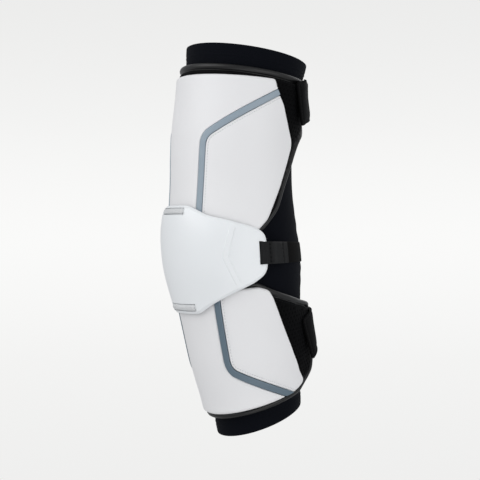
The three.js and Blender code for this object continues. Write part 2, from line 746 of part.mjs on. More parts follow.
// A webbing loop on the centre line: out through the slot near the cap's edge, over the bar
// and back in through the other slot, with its tail sewn to the panel under the cap.
function capLoop(outerSlot, slotHeight, halfWidth) {
  const outward = Math.sign(outerSlot);
  const gap = WEBBING_GAP;
  const slotEdge = slotHeight - (outward * (SLOT_WIDTH - WEBBING)) / 2;
  const slotFar = slotEdge + outward * WEBBING;
  const outerNear = outerSlot - (outward * WEBBING) / 2;
  const tip = outerNear + outward * WEBBING;
  const tail = slotEdge - outward * LOOP_TAIL;
  const outside = (height) => capAt(0, height).outer + gap;
  const seat = (height) => panelFace(height) + gap;
  const sewn = (height) => seat(height) + WEBBING;
  const outline = [
    [tail, seat(tail)],
    [tip, seat(tip)],
    [tip, outside(tip) + WEBBING],
    [slotEdge, outside(slotEdge) + WEBBING],
    [slotEdge, sewn(slotEdge) + gap],
    [slotFar, sewn(slotFar) + gap],
    [slotFar, outside(slotFar)],
    [outerNear, outside(outerNear)],
    [outerNear, sewn(outerNear)],
    [tail, sewn(tail)],
  ];
  const steps = Math.ceil((2 * halfWidth * MM_PER_DEGREE) / CAP_FACET);
  return pushedSolid(outline, -halfWidth, halfWidth, steps, (height, depth, angle) =>
    place(angle, height, depth),
  );
}

// The depth of a strap pulled straight from the cap's wing to where it meets the sleeve.
function pulledDepth(angle) {
  const from = CAP_HALF_ANGLE;
  const over = capAt(from, 0).inner;
  const radius = (ELBOW_RADIUS * (WIDTH_SHARE + DEPTH_SHARE)) / 2;
  const reach = Math.acos(radius / (radius + over));
  const left = Math.max(0, reach - degToRad(angle - from));
  return SLEEVE_GAP + radius / Math.cos(left) - radius;
}

function elbowStrap() {
  const start = ELBOW_TAB_END - ELASTIC_OVERLAP;
  const angles = subdivided([start, 360 - start], ANGLE_STEP);
  const level = (angle) => pulledDepth(Math.min(angle, 360 - angle));
  const grid = [-ELBOW_STRAP_HALF_WIDTH, ELBOW_STRAP_HALF_WIDTH].map((height) =>
    angles.map((angle) => [angle, height, level(angle), level(angle) + ELASTIC_DEPTH]),
  );
  return gridSolid(grid, false);
}

// The webbing that joins the cap's wing to the elastic: out through the slot, round the
// wing's edge bar, and stitched to itself and to the elastic behind the cap.
function elbowTab(hand) {
  const gap = WEBBING_GAP;
  const rim = CAP_HALF_ANGLE;
  const thin = WEBBING / MM_PER_DEGREE;
  const slot = WING_SLOT;
  const past = rim + gap / MM_PER_DEGREE;
  const inside = (angle) => capAt(angle, 0).inner - gap;
  const outside = (angle) => capAt(angle, 0).outer + gap;
  const slotNear = slot - thin / 2;
  const slotFar = slot + thin / 2;
  const over = (angle) => pulledDepth(angle) + ELASTIC_DEPTH + gap;
  const run = subdivided([past + 4 * thin, ELBOW_TAB_END], ANGLE_STEP);
  const outline = [
    [slotNear, inside(slotNear) - WEBBING],
    [past, inside(rim) - WEBBING],
    ...run.map((angle) => [angle, over(angle)]),
    ...[...run].reverse().map((angle) => [angle, over(angle) + 2 * WEBBING]),
    [past + thin, outside(rim) - CAP_WALL + CAP_EDGE_WALL + WEBBING],
    [rim - thin, outside(rim) + WEBBING],
    [slotNear, outside(slotNear) + WEBBING],
    [slotNear, inside(slotNear) - WEBBING / 2],
    [slotFar, inside(slotFar)],
    [slotFar, outside(slotFar)],
    [rim - 2 * thin, outside(rim - 2 * thin)],
    [past, outside(rim) - CAP_WALL + CAP_EDGE_WALL],
    [past, inside(rim)],
    [slotFar, inside(slotFar) - gap / 2],
    [slotNear, inside(slotNear) - WEBBING / 2 - gap / 2],
  ];
  return pushedSolid(
    outline,
    -ELBOW_STRAP_HALF_WIDTH,
    ELBOW_STRAP_HALF_WIDTH,
    1,
    (angle, depth, height) => place(hand * angle, height, depth),
  );
}

// A strap round the back from one side of a base to the other, standing off at its lower edge
// and rising from its front edges towards the back.
function armStrap(bottom, top, front, rise) {
  const heights = subdivided([bottom, top], STRAP_ROW_STEP);
  const count = Math.ceil((360 - 2 * front.top) / ANGLE_STEP);
  const grid = heights.map((height) => {
    const up = (height - bottom) / (top - bottom);
    const start = lerp(front.bottom, front.top, up);
    return Array.from({ length: count + 1 }, (_, i) => {
      const angle = lerp(start, 360 - start, i / count);
      const fromFront = Math.min(angle, 360 - angle);
      const raised = height + rise * smoothstep(fromFront, start, BASE_HALF_ANGLE);
      const seat = panelSeat(raised) + sideSwell(angle, raised) + STRAP_FLARE * (1 - up);
      return [angle, raised, seat, seat + STRAP_DEPTH];
    });
  });
  return gridSolid(grid, false);
}

const FINISHES = {
  knit: { color: 0x0f121a, roughness: 0.85, metalness: 0 },
  mesh: { color: 0x0a0a0b, roughness: 0.9, metalness: 0 },
  panel: { color: 0xe1e3e5, roughness: 0.5, metalness: 0 },
  upperStripe: { color: 0x8b9ba8, roughness: 0.45, metalness: 0 },
  lowerStripe: { color: 0x5f707d, roughness: 0.45, metalness: 0 },
  cap: { color: 0xe4e9ec, roughness: 0.35, metalness: 0 },
  loop: { color: 0xd5d8da, roughness: 0.7, metalness: 0 },
  webbing: { color: 0x191a1c, roughness: 0.8, metalness: 0 },
};

const armPad = new THREE.Group();

function add(name, geometry, finish) {
  const mesh = new THREE.Mesh(geometry, new THREE.MeshStandardMaterial(FINISHES[finish]));
  mesh.name = name;
  armPad.add(mesh);
}

// The same solid on the arm's other side.
function mirrored(geometry) {
  const copy = geometry.clone().scale(-1, 1, 1);
  const index = copy.index.array;
  for (let i = 0; i < index.length; i += 3) [index[i], index[i + 1]] = [index[i + 1], index[i]];
  return copy;
}

function addPair(name, geometry, finish) {
  add(name + "_right", geometry, finish);
  add(name + "_left", mirrored(geometry), finish);
}

const upperLine = stripeLine(
  UPPER_STRIPE_PATH,
  UPPER_STRIPE_ANGLE,
  UPPER_PANEL_BOTTOM,
  UPPER_PANEL_TOP,
);
const lowerLine = stripeLine(
  LOWER_STRIPE_PATH,
  LOWER_STRIPE_ANGLE,
  LOWER_PANEL_TOP,
  LOWER_PANEL_BOTTOM,
);
const topCrown = (angle) => PANEL_TOP_CROWN * (angle / UPPER_PANEL_HALF_ANGLE) ** 2;
const upperPanels = panels(upperPanelOutline, upperLine, topCrown);
const lowerPanels = panels(lowerPanelOutline, lowerLine, () => 0);

add("sleeve", sleeve(), "knit");
add("upper_base_pad", basePad(UPPER_BASE_OUTLINE, UPPER_BASE_BOTTOM, UPPER_BASE_TOP), "mesh");
add("lower_base_pad", basePad(LOWER_BASE_OUTLINE, LOWER_BASE_BOTTOM, LOWER_BASE_TOP), "mesh");
add("upper_centre_panel", upperPanels.centre, "panel");
addPair("upper_side_panel", upperPanels.flank, "panel");
addPair("upper_stripe", stripe(upperLine), "upperStripe");
add("lower_centre_panel", lowerPanels.centre, "panel");
addPair("lower_side_panel", lowerPanels.flank, "panel");
addPair("lower_stripe", stripe(lowerLine), "lowerStripe");
add("elbow_cap", elbowCap(), "cap");
add("cap_loop_upper", capLoop(UPPER_OUTER_SLOT, UPPER_SLOT, UPPER_LOOP_HALF_WIDTH), "loop");
add("cap_loop_lower", capLoop(LOWER_OUTER_SLOT, LOWER_SLOT, LOWER_LOOP_HALF_WIDTH), "loop");
add("elbow_strap", elbowStrap(), "webbing");
addPair("elbow_strap_tab", elbowTab(1), "webbing");
add(
  "upper_strap",
  armStrap(UPPER_STRAP_BOTTOM, UPPER_STRAP_TOP, UPPER_STRAP_FRONT, UPPER_STRAP_RISE),
  "webbing",
);
add(
  "lower_strap",
  armStrap(LOWER_STRAP_BOTTOM, LOWER_STRAP_TOP, LOWER_STRAP_FRONT, LOWER_STRAP_RISE),
  "webbing",
);

export default armPad;
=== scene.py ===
import math

import bmesh
import bpy
import numpy as np
from bpy.props import FloatProperty, FloatVectorProperty, IntProperty, PointerProperty
from bpy.types import Operator, Panel, PropertyGroup
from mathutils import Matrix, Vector
from mathutils.geometry import delaunay_2d_cdt


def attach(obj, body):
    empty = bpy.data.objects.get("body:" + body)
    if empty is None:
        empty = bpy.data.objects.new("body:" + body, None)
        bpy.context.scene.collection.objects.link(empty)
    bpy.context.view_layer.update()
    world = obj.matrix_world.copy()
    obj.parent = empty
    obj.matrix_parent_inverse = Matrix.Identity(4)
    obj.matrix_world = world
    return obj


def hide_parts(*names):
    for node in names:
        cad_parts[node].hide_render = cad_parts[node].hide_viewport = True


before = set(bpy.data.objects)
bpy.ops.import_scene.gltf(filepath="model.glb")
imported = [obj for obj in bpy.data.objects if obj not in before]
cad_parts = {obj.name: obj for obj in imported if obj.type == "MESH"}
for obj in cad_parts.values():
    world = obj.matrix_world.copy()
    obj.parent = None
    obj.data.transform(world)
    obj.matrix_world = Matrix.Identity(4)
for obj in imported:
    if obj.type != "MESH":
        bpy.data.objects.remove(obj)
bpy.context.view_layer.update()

bl_info = {
    "name": "Lacrosse Arm Pad",
    "version": (1, 0, 0),
    "blender": (4, 5, 0),
    "location": "View3D > Sidebar > Arm Pad",
    "description": "Builds a padded arm guard piece by piece over its fixed solids",
    "category": "Add Mesh",
}

# All shapes are worked out in millimetres and degrees, and go into meshes in metres.
MM = 0.001
# The cloth that fills the padding: its frames, the mass of a point in kilograms, and how
# stiff it is against stretching and bending, low enough for pieces as small as these
CLOTH_FRAMES, CLOTH_POINT_MASS, CLOTH_STIFFNESS, CLOTH_BENDING = 20, 0.002, 1.0, 0.05
# Spacing of its points, its rings beside the edge, and how far a point's rise spreads
CLOTH_SPACING, CLOTH_RINGS, CLOTH_SPREAD = 4.5, (2.0,), 3.5
# Distance between the rows of a lattice of even triangles, as a share of its spacing
LATTICE_ROW = 0.866
# Pitch and length of the stitches of the bases and straps, and those of a tab with their
# radius
BASE_STITCHES, STRAP_STITCHES, TAB_STITCHES = (3.2, 2.2), (3.0, 2.2), (3.6, 2.4, 0.45)
# Where the rings of a stitch lie, as shares of half its length, and the points of a ring
STITCH_SHARES, STITCH_SIDES = (-1, -0.8, -0.35, 0.35, 0.8, 1), 6
# The camera: azimuth, height and sideways shift of its aim, distance, focal length, sensor
CAMERA_AZIMUTH, CAMERA_HEIGHT, CAMERA_SHIFT = 57.0, 0.0113, -0.00094
CAMERA_DISTANCE, CAMERA_LENS, CAMERA_SENSOR = 1.303, 104.0, 36.0

# Sections of the sleeve from the cuff to the collar, as in the solids:
# height, how far back the middle lies, tip of the section's plane, radius
UPPER_LENGTH, FOREARM_LENGTH = 183.0, 156.0
UPPER_SETBACK, FOREARM_SETBACK = 6.4, 20.5
UPPER_TIP, FOREARM_TIP = 8.6, 21.2
COLLAR_RADIUS, UPPER_ARM_RADIUS, ELBOW_RADIUS, CUFF_RADIUS = 56.5, 50.5, 55.2, 41.0
WIDTH_SHARE, DEPTH_SHARE = 0.93, 1.03
# at, back, tip, elbow, end: shares of the limb's length, setback and tip, and of the
# elbow's and the open end's own width
UPPER_SECTIONS = (
    (0, 0, 0, 1, 0),
    (0.13, -0.25, 0.14, 0.64, 0),
    (0.34, -0.47, 0.29, 0, 0),
    (0.59, -0.41, 0.53, 0, 0.03),
    (0.755, 0.03, 0.75, 0, 0.35),
    (0.9, 0.56, 0.91, 0, 0.72),
    (1, 1, 1, 0, 1),
)
FOREARM_SECTIONS = (
    (1, 1, 1, 0, 1),
    (0.82, 0.82, 0.895, 0.19, 0.81),
    (0.65, 0.66, 0.73, 0.4, 0.6),
    (0.47, 0.42, 0.54, 0.57, 0.43),
    (0.29, 0.22, 0.33, 0.8, 0.2),
    (0.13, 0.09, 0.165, 0.97, 0.03),
)
SECTIONS = np.array(
    [
        (
            -at * FOREARM_LENGTH,
            back * FOREARM_SETBACK,
            -tip * FOREARM_TIP,
            elbow * ELBOW_RADIUS + end * CUFF_RADIUS,
        )
        for at, back, tip, elbow, end in FOREARM_SECTIONS
    ]
    + [
        (
            at * UPPER_LENGTH,
            back * UPPER_SETBACK,
            tip * UPPER_TIP,
            UPPER_ARM_RADIUS
            + elbow * (ELBOW_RADIUS - UPPER_ARM_RADIUS)
            + end * (COLLAR_RADIUS - UPPER_ARM_RADIUS),
        )
        for at, back, tip, elbow, end in UPPER_SECTIONS
    ]
)
SLOPES = np.array(
    [
        (SECTIONS[min(i + 1, len(SECTIONS) - 1)] - SECTIONS[max(i - 1, 0)])
        / (SECTIONS[min(i + 1, len(SECTIONS) - 1), 0] - SECTIONS[max(i - 1, 0), 0])
        for i in range(len(SECTIONS))
    ]
)

# Depths of the layers over the sleeve, as in the solids
SLEEVE_GAP, LAYER_GAP, SEAM_GAP = 1.0, 0.8, 0.4
SLEEVE_WALL, BASE_DEPTH, PANEL_DEPTH = 2.0, 6.2, 3.8
STRIPE_WIDTH, STRIPE_BEND_RADIUS, STRIPE_OVERRUN = 5.2, 14.0, 14.0
PANEL_RADIUS = UPPER_ARM_RADIUS + BASE_DEPTH + PANEL_DEPTH
MM_PER_DEGREE = math.radians(PANEL_RADIUS)
# share of the limb's length, share of the base's depth
BASE_DEPTHS = (
    (-1, 0.75), (-0.85, 0.88), (-0.7, 0.95), (-0.5, 0.85), (-0.16, 0.65), (-0.075, 0.92),
    (0.06, 0.92), (0.1, 1.2), (0.45, 1.2), (0.66, 1), (0.8, 0.86), (1, 0.66),
)
# The panels get thinner over these shares of the limb, down to a share of their depth. The
# bases swell behind the panels over these angles: share of the limb's length, share of the
# full swelling
PANEL_TAPER, PANEL_END_SHARE = (0.55, 0.8), 0.45
SWELL_TURN, SIDE_SWELL = (120.0, 140.0), 5.0
BASE_SWELLS = (
    (-0.74, 1), (-0.66, 0.3), (-0.2, 0.5), (0.6, 0.5), (0.68, 0), (0.75, -0.15),
    (0.83, -0.6), (0.88, -0.75),
)

# Ends and half angles of the bases and panels, and their outlines from the bottom up:
# share of the way up, share of the half angle
BASE_HALF_ANGLE = 150.0
UPPER_BASE = (14.0, 164.5)
LOWER_BASE = (-138.0, -25.0)
UPPER_PANEL = (19.0, 154.0)
LOWER_PANEL = (-132.5, -29.5)
UPPER_PANEL_HALF_ANGLE, LOWER_PANEL_HALF_ANGLE = 111.0, 120.0
PANEL_TOP_CROWN = 4.4
UPPER_BASE_OUTLINE = (
    (0, 0.47), (0.035, 0.535), (0.165, 0.65), (0.31, 0.72), (0.43, 0.785),
    (0.6, 0.885), (0.7, 1), (1, 1),
)
LOWER_BASE_OUTLINE = (
    (0, 0.8), (0.11, 0.93), (0.22, 1), (0.74, 1), (0.8, 0.83), (0.88, 0.665),
    (0.94, 0.557), (1, 0.48),
)
UPPER_PANEL_OUTLINE = (
    (0, 0.66), (0.08, 0.745), (0.3, 0.873), (0.455, 0.945), (0.58, 1), (0.63, 1),
    (0.74, 0.955), (0.86, 0.9), (1, 0.79),
)
LOWER_PANEL_OUTLINE = (
    (0, 0.88), (0.025, 0.975), (0.065, 1), (0.18, 0.921), (0.36, 0.848),
    (0.655, 0.767), (0.89, 0.705), (0.966, 0.672), (1, 0.6),
)
# Corners of the stripes' middle lines: share of the stripe's angle, share of the way from
# the panels' elbow end to their outer end
UPPER_STRIPE = (28.3, ((0.855, 0), (1, 0.608), (3.3, 0.945)))
LOWER_STRIPE = (35.4, ((1, 0), (1, 0.64), (2.72, 1)))
# How far each stands proud of the panels, and how far it stays inside their outline
UPPER_PROUD, LOWER_PROUD, STRIPE_MARGIN = 0.5, 1.2, 0.4

# The cap, its slots and what goes through them
CAP_RISE, CAP_DROP, CAP_HALF_ANGLE = 40.5, 47.5, 79.6
CAP_WALL, CAP_EDGE_WALL, CAP_STANDOFF, CAP_DOME, CAP_SIDE_DIP = 2.6, 1.5, 1.9, 3.6, 3.0
CAP_BEVEL = 2.5
# How suddenly the dome falls off at the top, the sides and the bottom, as exponents, and
# the shares of the height and the width over which the wings dip
SHOULDER_TOP, SHOULDER_SIDE, SHOULDER_BOTTOM = 5.0, 3.0, 2.2
WING_LEVEL, WING_START = (0.2, 0.75), 0.4
# share of the half angle, share of the rise or drop
CAP_OUTLINE = (
    (0, 1), (0.19, 1), (0.29, 0.93), (0.42, 0.79), (0.64, 0.69), (0.9, 0.54),
    (0.98, 0.42), (1, 0.25), (1, -0.27), (0.96, -0.4), (0.84, -0.54), (0.62, -0.69),
    (0.36, -0.89), (0.25, -1), (0, -1),
)
# Steps in height over which the cap evens out the panels below it
CAP_SMOOTHING = tuple(range(-15, 16, 3))
# The ridge in front of each wing from the bottom up, as angles and heights
CAP_RIDGE = np.array(((61.0, -39.0), (56.0, -27.0), (47.0, -3.0), (53.5, 24.0), (57.0, 38.0)))
CAP_RIDGE *= (MM_PER_DEGREE, 1)
WEBBING, WEBBING_GAP, WEBBING_EDGE = 1.2, 0.3, 0.45
UPPER_LOOP_HALF_WIDTH, LOWER_LOOP_HALF_WIDTH = 14.0, 17.0
LOOP_BAR, LOOP_TAIL, SLOT_WIDTH = 6.4, 12.0, 2.6
# Room round the webbing in its slots: beside it, over and under it, at a wing, at a bar
SLOT_SIDE_ROOM, SLOT_FACE_ROOM, WING_SLOT_ROOM, BAR_SLOT_ROOM = 0.25, 0.15, 0.2, 0.3
LOOP_LIP, OUTER_SLOT_WIDTH = 1.8, 2.2
UPPER_SLOT = CAP_RISE - LOOP_BAR - SLOT_WIDTH / 2
LOWER_SLOT = -CAP_DROP + LOOP_BAR + SLOT_WIDTH / 2
UPPER_OUTER_SLOT = CAP_RISE - LOOP_LIP - OUTER_SLOT_WIDTH / 2
LOWER_OUTER_SLOT = -CAP_DROP + LOOP_LIP + OUTER_SLOT_WIDTH / 2
ELBOW_STRAP_HALF_WIDTH, TAB_HALF_WIDTH, ELASTIC_DEPTH = 10.5, 9.9, 1.8
ELBOW_TAB_BAR, ELBOW_TAB_END = 4.6, 103.6
# The elastic's thickness as a share of its depth, its middle's level, its edges' inset
ELASTIC_SHARE, ELASTIC_LEVEL, ELASTIC_INSET = 0.55, 0.55, 0.3
# Where a tab's broad ribs end, and the seams across it: angle, depth of the groove, its
# width in degrees
TAB_RIBS_END = 82.0
TAB_SEAMS = ((82.2, 0.85, 1.0), (97.4, 0.6, 0.8))
WING_SLOT = CAP_HALF_ANGLE - (ELBOW_TAB_BAR + SLOT_WIDTH / 2) / MM_PER_DEGREE

# The straps: bottom, top, front edge's angle at the bottom and at the top, rise to the back
STRAP_DEPTH, STRAP_FLARE, STRAP_BORDER, STRAP_EDGE = 2.5, 4.0, 2.6, 1.0
UPPER_STRAP = (119.0, 159.0, 123.0, 111.0, 10.0)
LOWER_STRAP = (-111.0, -68.0, 128.0, 121.0, 6.0)


# Shape of the arm


def section_at(height):
    """Setback, tip in radians and radius of the sleeve at the heights."""
    height = np.asarray(height, float)
    i = np.clip(np.searchsorted(SECTIONS[:, 0], height, side="right") - 1, 0, len(SECTIONS) - 2)
    low, high = SECTIONS[i], SECTIONS[i + 1]
    span = (high[..., 0] - low[..., 0])[..., None]
    t = ((height - low[..., 0])[..., None]) / span
    value = (
        (2 * t**3 - 3 * t**2 + 1) * low
        + (t**3 - 2 * t**2 + t) * span * SLOPES[i]
        + (3 * t**2 - 2 * t**3) * high
        + (t**3 - t**2) * span * SLOPES[i + 1]
    )
    return value[..., 1], np.radians(value[..., 2]), value[..., 3]


def place(angle, height, depth):
    """Points at angles from the front, heights on the arm and depths over the sleeve."""
    angle, height, depth = np.broadcast_arrays(
        np.asarray(angle, float), np.asarray(height, float), np.asarray(depth, float)
    )
    back, tip, radius = section_at(height)
    turn = np.radians(angle)
    width, reach = radius * WIDTH_SHARE, radius * DEPTH_SHARE
    normal = np.stack([np.sin(turn) / width, -np.cos(turn) / reach], -1)
    normal /= np.linalg.norm(normal, axis=-1)[..., None]
    x = width * np.sin(turn) + depth * normal[..., 0]
    y = -reach * np.cos(turn) + depth * normal[..., 1]
    return np.stack([x, back + y * np.cos(tip), height - y * np.sin(tip)], -1)


def table_value(rows, x):
    """Straight-line reading of two-column rows."""
    rows = np.array(rows, float)
    return np.interp(x, rows[:, 0], rows[:, 1])


def limb_share(height):
    """Heights as shares of the limb's length, below 0 on the forearm."""
    height = np.asarray(height, float)
    return height / np.where(height < 0, FOREARM_LENGTH, UPPER_LENGTH)


def base_top(height):
    return SLEEVE_GAP + BASE_DEPTH * table_value(BASE_DEPTHS, limb_share(height))


def panel_seat(height):
    return base_top(height) + LAYER_GAP


def panel_face(height):
    thinned = (1 - PANEL_END_SHARE) * smooth(np.abs(limb_share(height)), *PANEL_TAPER)
    return panel_seat(height) + PANEL_DEPTH * (1 - thinned)


def side_swell(angle, height):
    """How far the bases swell behind the panels."""
    around = np.abs(np.asarray(angle, float))
    full = SIDE_SWELL * table_value(BASE_SWELLS, limb_share(height))
    return full * smooth(np.minimum(around, 360 - around), *SWELL_TURN)


def drawn_in(gap, depth, width):
    """Depth of a seam at a distance from its middle."""
    return depth * np.exp(-((gap / width) ** 2))


def wave(x, height, pitch):
    return height * np.sin(x * 2 * math.pi / pitch)


def smooth(x, low, high):
    """0 below low, 1 above high and a smooth step between them."""
    t = np.clip((np.asarray(x, float) - low) / (high - low), 0, 1)
    return t * t * (3 - 2 * t)


# Lines and outlines on the flattened arm, in millimetres round and up it


def travelled(path):
    """Distance along a line to each of its points."""
    return np.concatenate([[0], np.cumsum(np.linalg.norm(np.diff(path, axis=0), axis=1))])


def directions(path):
    """Unit vectors along an open line."""
    along = np.gradient(path, axis=0)
    return along / np.linalg.norm(along, axis=1)[:, None]


def resampled(points, step, closed=False):
    """Points at even steps along a line."""
    points = np.array(points, float)
    if closed:
        points = np.vstack([points, points[:1]])
    length = travelled(points)
    count = max(3, int(round(length[-1] / step)))
    at = np.linspace(0, length[-1], count + 1)[: count if closed else count + 1]
    return np.stack([np.interp(at, length, points[:, k]) for k in range(2)], 1)


def softened(points, passes, closed=True):
    """A line with its corners rounded by repeated averaging."""
    points = np.array(points, float)
    for _ in range(passes):
        moved = (np.roll(points, 1, 0) + 2 * points + np.roll(points, -1, 0)) / 4
        if not closed:
            moved[0], moved[-1] = points[0], points[-1]
        points = moved
    return points


def beside(line, distance):
    """An open line moved to its right-hand side by a distance."""
    line = np.array(line, float)
    along = directions(line)
    return line + np.stack([along[:, 1], -along[:, 0]], 1) * distance


def inset(loop, distance):
    """A closed anticlockwise loop moved inwards by a distance."""
    along = np.roll(loop, -1, 0) - np.roll(loop, 1, 0)
    along /= np.linalg.norm(along, axis=1)[:, None]
    return loop + np.stack([-along[:, 1], along[:, 0]], 1) * distance


def in_parts(work, points, size=2000):
    """What work gives for each point, worked out for a part of the points at a time."""
    starts = range(0, len(points), size)
    return np.concatenate([[]] + [work(points[start : start + size]) for start in starts])


def distance_to(points, line, closed=False):
    """Distance of each point from a line."""
    line = np.array(line, float)
    a = line if closed else line[:-1]
    b = np.roll(line, -1, 0) if closed else line[1:]
    ab = (b - a)[None]

    def nearest(part):
        p = part[:, None, :]
        t = np.clip(((p - a) * ab).sum(-1) / np.maximum((ab * ab).sum(-1), 1e-12), 0, 1)
        return np.linalg.norm(p - (a + ab * t[..., None]), axis=-1).min(1)

    return in_parts(nearest, points)


def inside(points, loop):
    """Whether each point lies in a closed loop."""
    a, b = loop, np.roll(loop, -1, 0)
    rise = np.where(b[:, 1] == a[:, 1], 1e-12, b[:, 1] - a[:, 1])

    def crossed(part):
        x, y = part[:, :1], part[:, 1:]
        crosses = (a[:, 1] > y) != (b[:, 1] > y)
        at = (b[:, 0] - a[:, 0]) * (y - a[:, 1]) / rise + a[:, 0]
        return (crosses & (x < at)).sum(1) % 2 == 1

    return in_parts(crossed, np.asarray(points, float)).astype(bool)


def outline_rows(table, ends, half_angle):
    """An outline's right side as [mm round the arm, height] from the bottom up."""
    return np.array(
        [
            (around * half_angle * MM_PER_DEGREE, ends[0] + up * (ends[1] - ends[0]))
            for up, around in table
        ]
    )


def stripe_line(stripe, start, end):
    """A stripe's middle line with its bend rounded."""
    angle, path = stripe
    a, b, c = (
        np.array((around * angle * MM_PER_DEGREE, start + up * (end - start)))
        for around, up in path
    )
    into, out = (a - b) / np.linalg.norm(a - b), (c - b) / np.linalg.norm(c - b)
    half = math.acos(float(into @ out)) / 2
    reach = STRIPE_BEND_RADIUS / math.tan(half)
    middle = (into + out) / np.linalg.norm(into + out)
    centre = b + middle * STRIPE_BEND_RADIUS / math.sin(half)
    first, last = b + into * reach - centre, b + out * reach - centre
    angle_of = lambda v: math.atan2(v[1], v[0])
    sweep = (angle_of(last) - angle_of(first) + math.pi) % (2 * math.pi) - math.pi
    turns = angle_of(first) + sweep * np.linspace(0, 1, 12)
    arc = [centre + STRIPE_BEND_RADIUS * np.array((math.cos(t), math.sin(t))) for t in turns]
    return resampled([a, *arc, c + out * STRIPE_OVERRUN], 1.0)


# What the panels and stripes of each limb are built from: table, ends, half angle, line
# of the stripe, and 1 or -1 for the way from the elbow
UPPER_PANELS = (
    UPPER_PANEL_OUTLINE, UPPER_PANEL, UPPER_PANEL_HALF_ANGLE,
    stripe_line(UPPER_STRIPE, *UPPER_PANEL), 1,
)
LOWER_PANELS = (
    LOWER_PANEL_OUTLINE, LOWER_PANEL, LOWER_PANEL_HALF_ANGLE,
    stripe_line(LOWER_STRIPE, *LOWER_PANEL[::-1]), -1,
)


def panel_loops(table, ends, half_angle, line, side):
    """Closed loops of the centre panel and of the right flank panel beside a stripe."""
    rows = outline_rows(table, ends, half_angle)
    edge = lambda height: np.interp(height, rows[:, 1], rows[:, 0])
    away = STRIPE_WIDTH / 2 + SEAM_GAP
    top = ends[1] if side > 0 else ends[0]
    near, far = (
        points[(points[:, 0] < edge(points[:, 1]) - 0.5) & ((top - points[:, 1]) * side > 0.2)]
        for points in (beside(line, -side * away), beside(line, side * away))
    )
    tip_near, tip_far = near[-1, 1], far[-1, 1]
    crown = lambda p: side > 0 and PANEL_TOP_CROWN * (
        p[0] / (UPPER_PANEL_HALF_ANGLE * MM_PER_DEGREE)
    ) ** 2 * float(smooth(p[1], tip_near, ends[1]))
    beyond = rows[(rows[:, 1] - tip_near) * side > 0.5]
    below = rows[(rows[:, 1] - tip_far) * side < -0.5]
    if side < 0:
        beyond, below = beyond[::-1], below[::-1]
    outer = np.vstack([[edge(tip_near), tip_near], beyond])
    runs_out = abs(tip_near - top) < 2.5
    right = near if runs_out else np.vstack([near, resampled(outer, 3.0)])
    across = np.linspace(right[-1, 0], 0, 24)[1:]
    right = np.vstack([right, [(x, top) for x in across]])
    right[:, 1] += [crown(p) for p in right]
    left = right[::-1][1:] * (-1, 1)
    centre = np.vstack([right, left])
    flank = np.vstack([far, [[edge(tip_far), tip_far]], below[::-1]])
    return [anticlockwise(softened(resampled(loop, 1.4, True), 3)) for loop in (centre, flank)]


def anticlockwise(loop):
    """The loop, turned round if it runs clockwise."""
    area = np.sum(loop[:, 0] * np.roll(loop[:, 1], -1) - np.roll(loop[:, 0], -1) * loop[:, 1])
    return loop if area > 0 else loop[::-1]


# Mesh making


def linked(name, data):
    """A new object in the scene."""
    made = bpy.data.objects.new(name, data)
    bpy.context.scene.collection.objects.link(made)
    return made


def new_object(name, points, faces, material=None, smooth_shaded=True):
    """An object from points in millimetres."""
    mesh = bpy.data.meshes.new(name)
    mesh.from_pydata([tuple(p) for p in np.asarray(points) * MM], [], faces)
    mesh.validate()
    tidy = bmesh.new()
    tidy.from_mesh(mesh)
    bmesh.ops.recalc_face_normals(tidy, faces=tidy.faces)
    tidy.to_mesh(mesh)
    tidy.free()
    mesh.polygons.foreach_set("use_smooth", [smooth_shaded] * len(mesh.polygons))
    if material:
        mesh.materials.append(material)
    return linked(name, mesh)


def lay_coordinates(piece, flat):
    """Keeps each vertex's place on the flattened cloth, in millimetres, for its weave."""
    kept = piece.data.attributes.new("cloth", "FLOAT_VECTOR", "POINT")
    kept.data.foreach_set("vector", np.column_stack([flat, np.zeros(len(flat))]).ravel())


def laid_coordinates(piece):
    """Each vertex's place on the flattened cloth."""
    flat = np.zeros(len(piece.data.vertices) * 3)
    piece.data.attributes["cloth"].data.foreach_get("vector", flat)
    return flat.reshape(-1, 3)[:, :2]


def lattice(low, high, spacing):
    """Points of even triangles over a rectangle."""
    return np.array(
        [
            (x + (spacing / 2 if k % 2 else 0), y)
            for k, y in enumerate(np.arange(low[1], high[1], spacing * LATTICE_ROW))
            for x in np.arange(low[0], high[0], spacing)
        ]
    )


def filled(loop, spacing, rings, more=()):
    """Points and triangles that fill a loop: rings beside its edge, a grid, and more points."""
    count = len(loop)
    lines = [loop] + [inset(loop, ring) for ring in rings]
    core = lines[-1]
    grid = lattice(core.min(0), core.max(0) + spacing, spacing)
    grid = grid[inside(grid, core)]
    grid = grid[distance_to(grid, core, True) > spacing * 0.45]
    more = np.array(more, float).reshape(-1, 2)
    if len(more):
        more = more[inside(more, core)]
        more = more[distance_to(more, core, True) > 0.3]
        cells = {(int(x // spacing), int(y // spacing)) for x, y in more}
        near = lambda p: any(
            (int(p[0] // spacing) + i, int(p[1] // spacing) + j) in cells
            for i in (-1, 0, 1)
            for j in (-1, 0, 1)
        )
        close = np.array([near(p) for p in grid], bool)
        if close.any():
            candidates = grid[close]
            gap = np.array([np.min(np.hypot(*(more - p).T)) for p in candidates])
            keep = np.ones(len(grid), bool)
            keep[np.where(close)[0][gap < spacing * 0.4]] = False
            grid = grid[keep]
    points = np.vstack([*lines, grid, more])
    edges = [(i, (i + 1) % count) for i in range(count)]
    made = delaunay_2d_cdt([Vector(p) for p in points], edges, [], 1, 1e-5)
    return np.array([tuple(v) for v in made[0]]), [tuple(f) for f in made[2]]


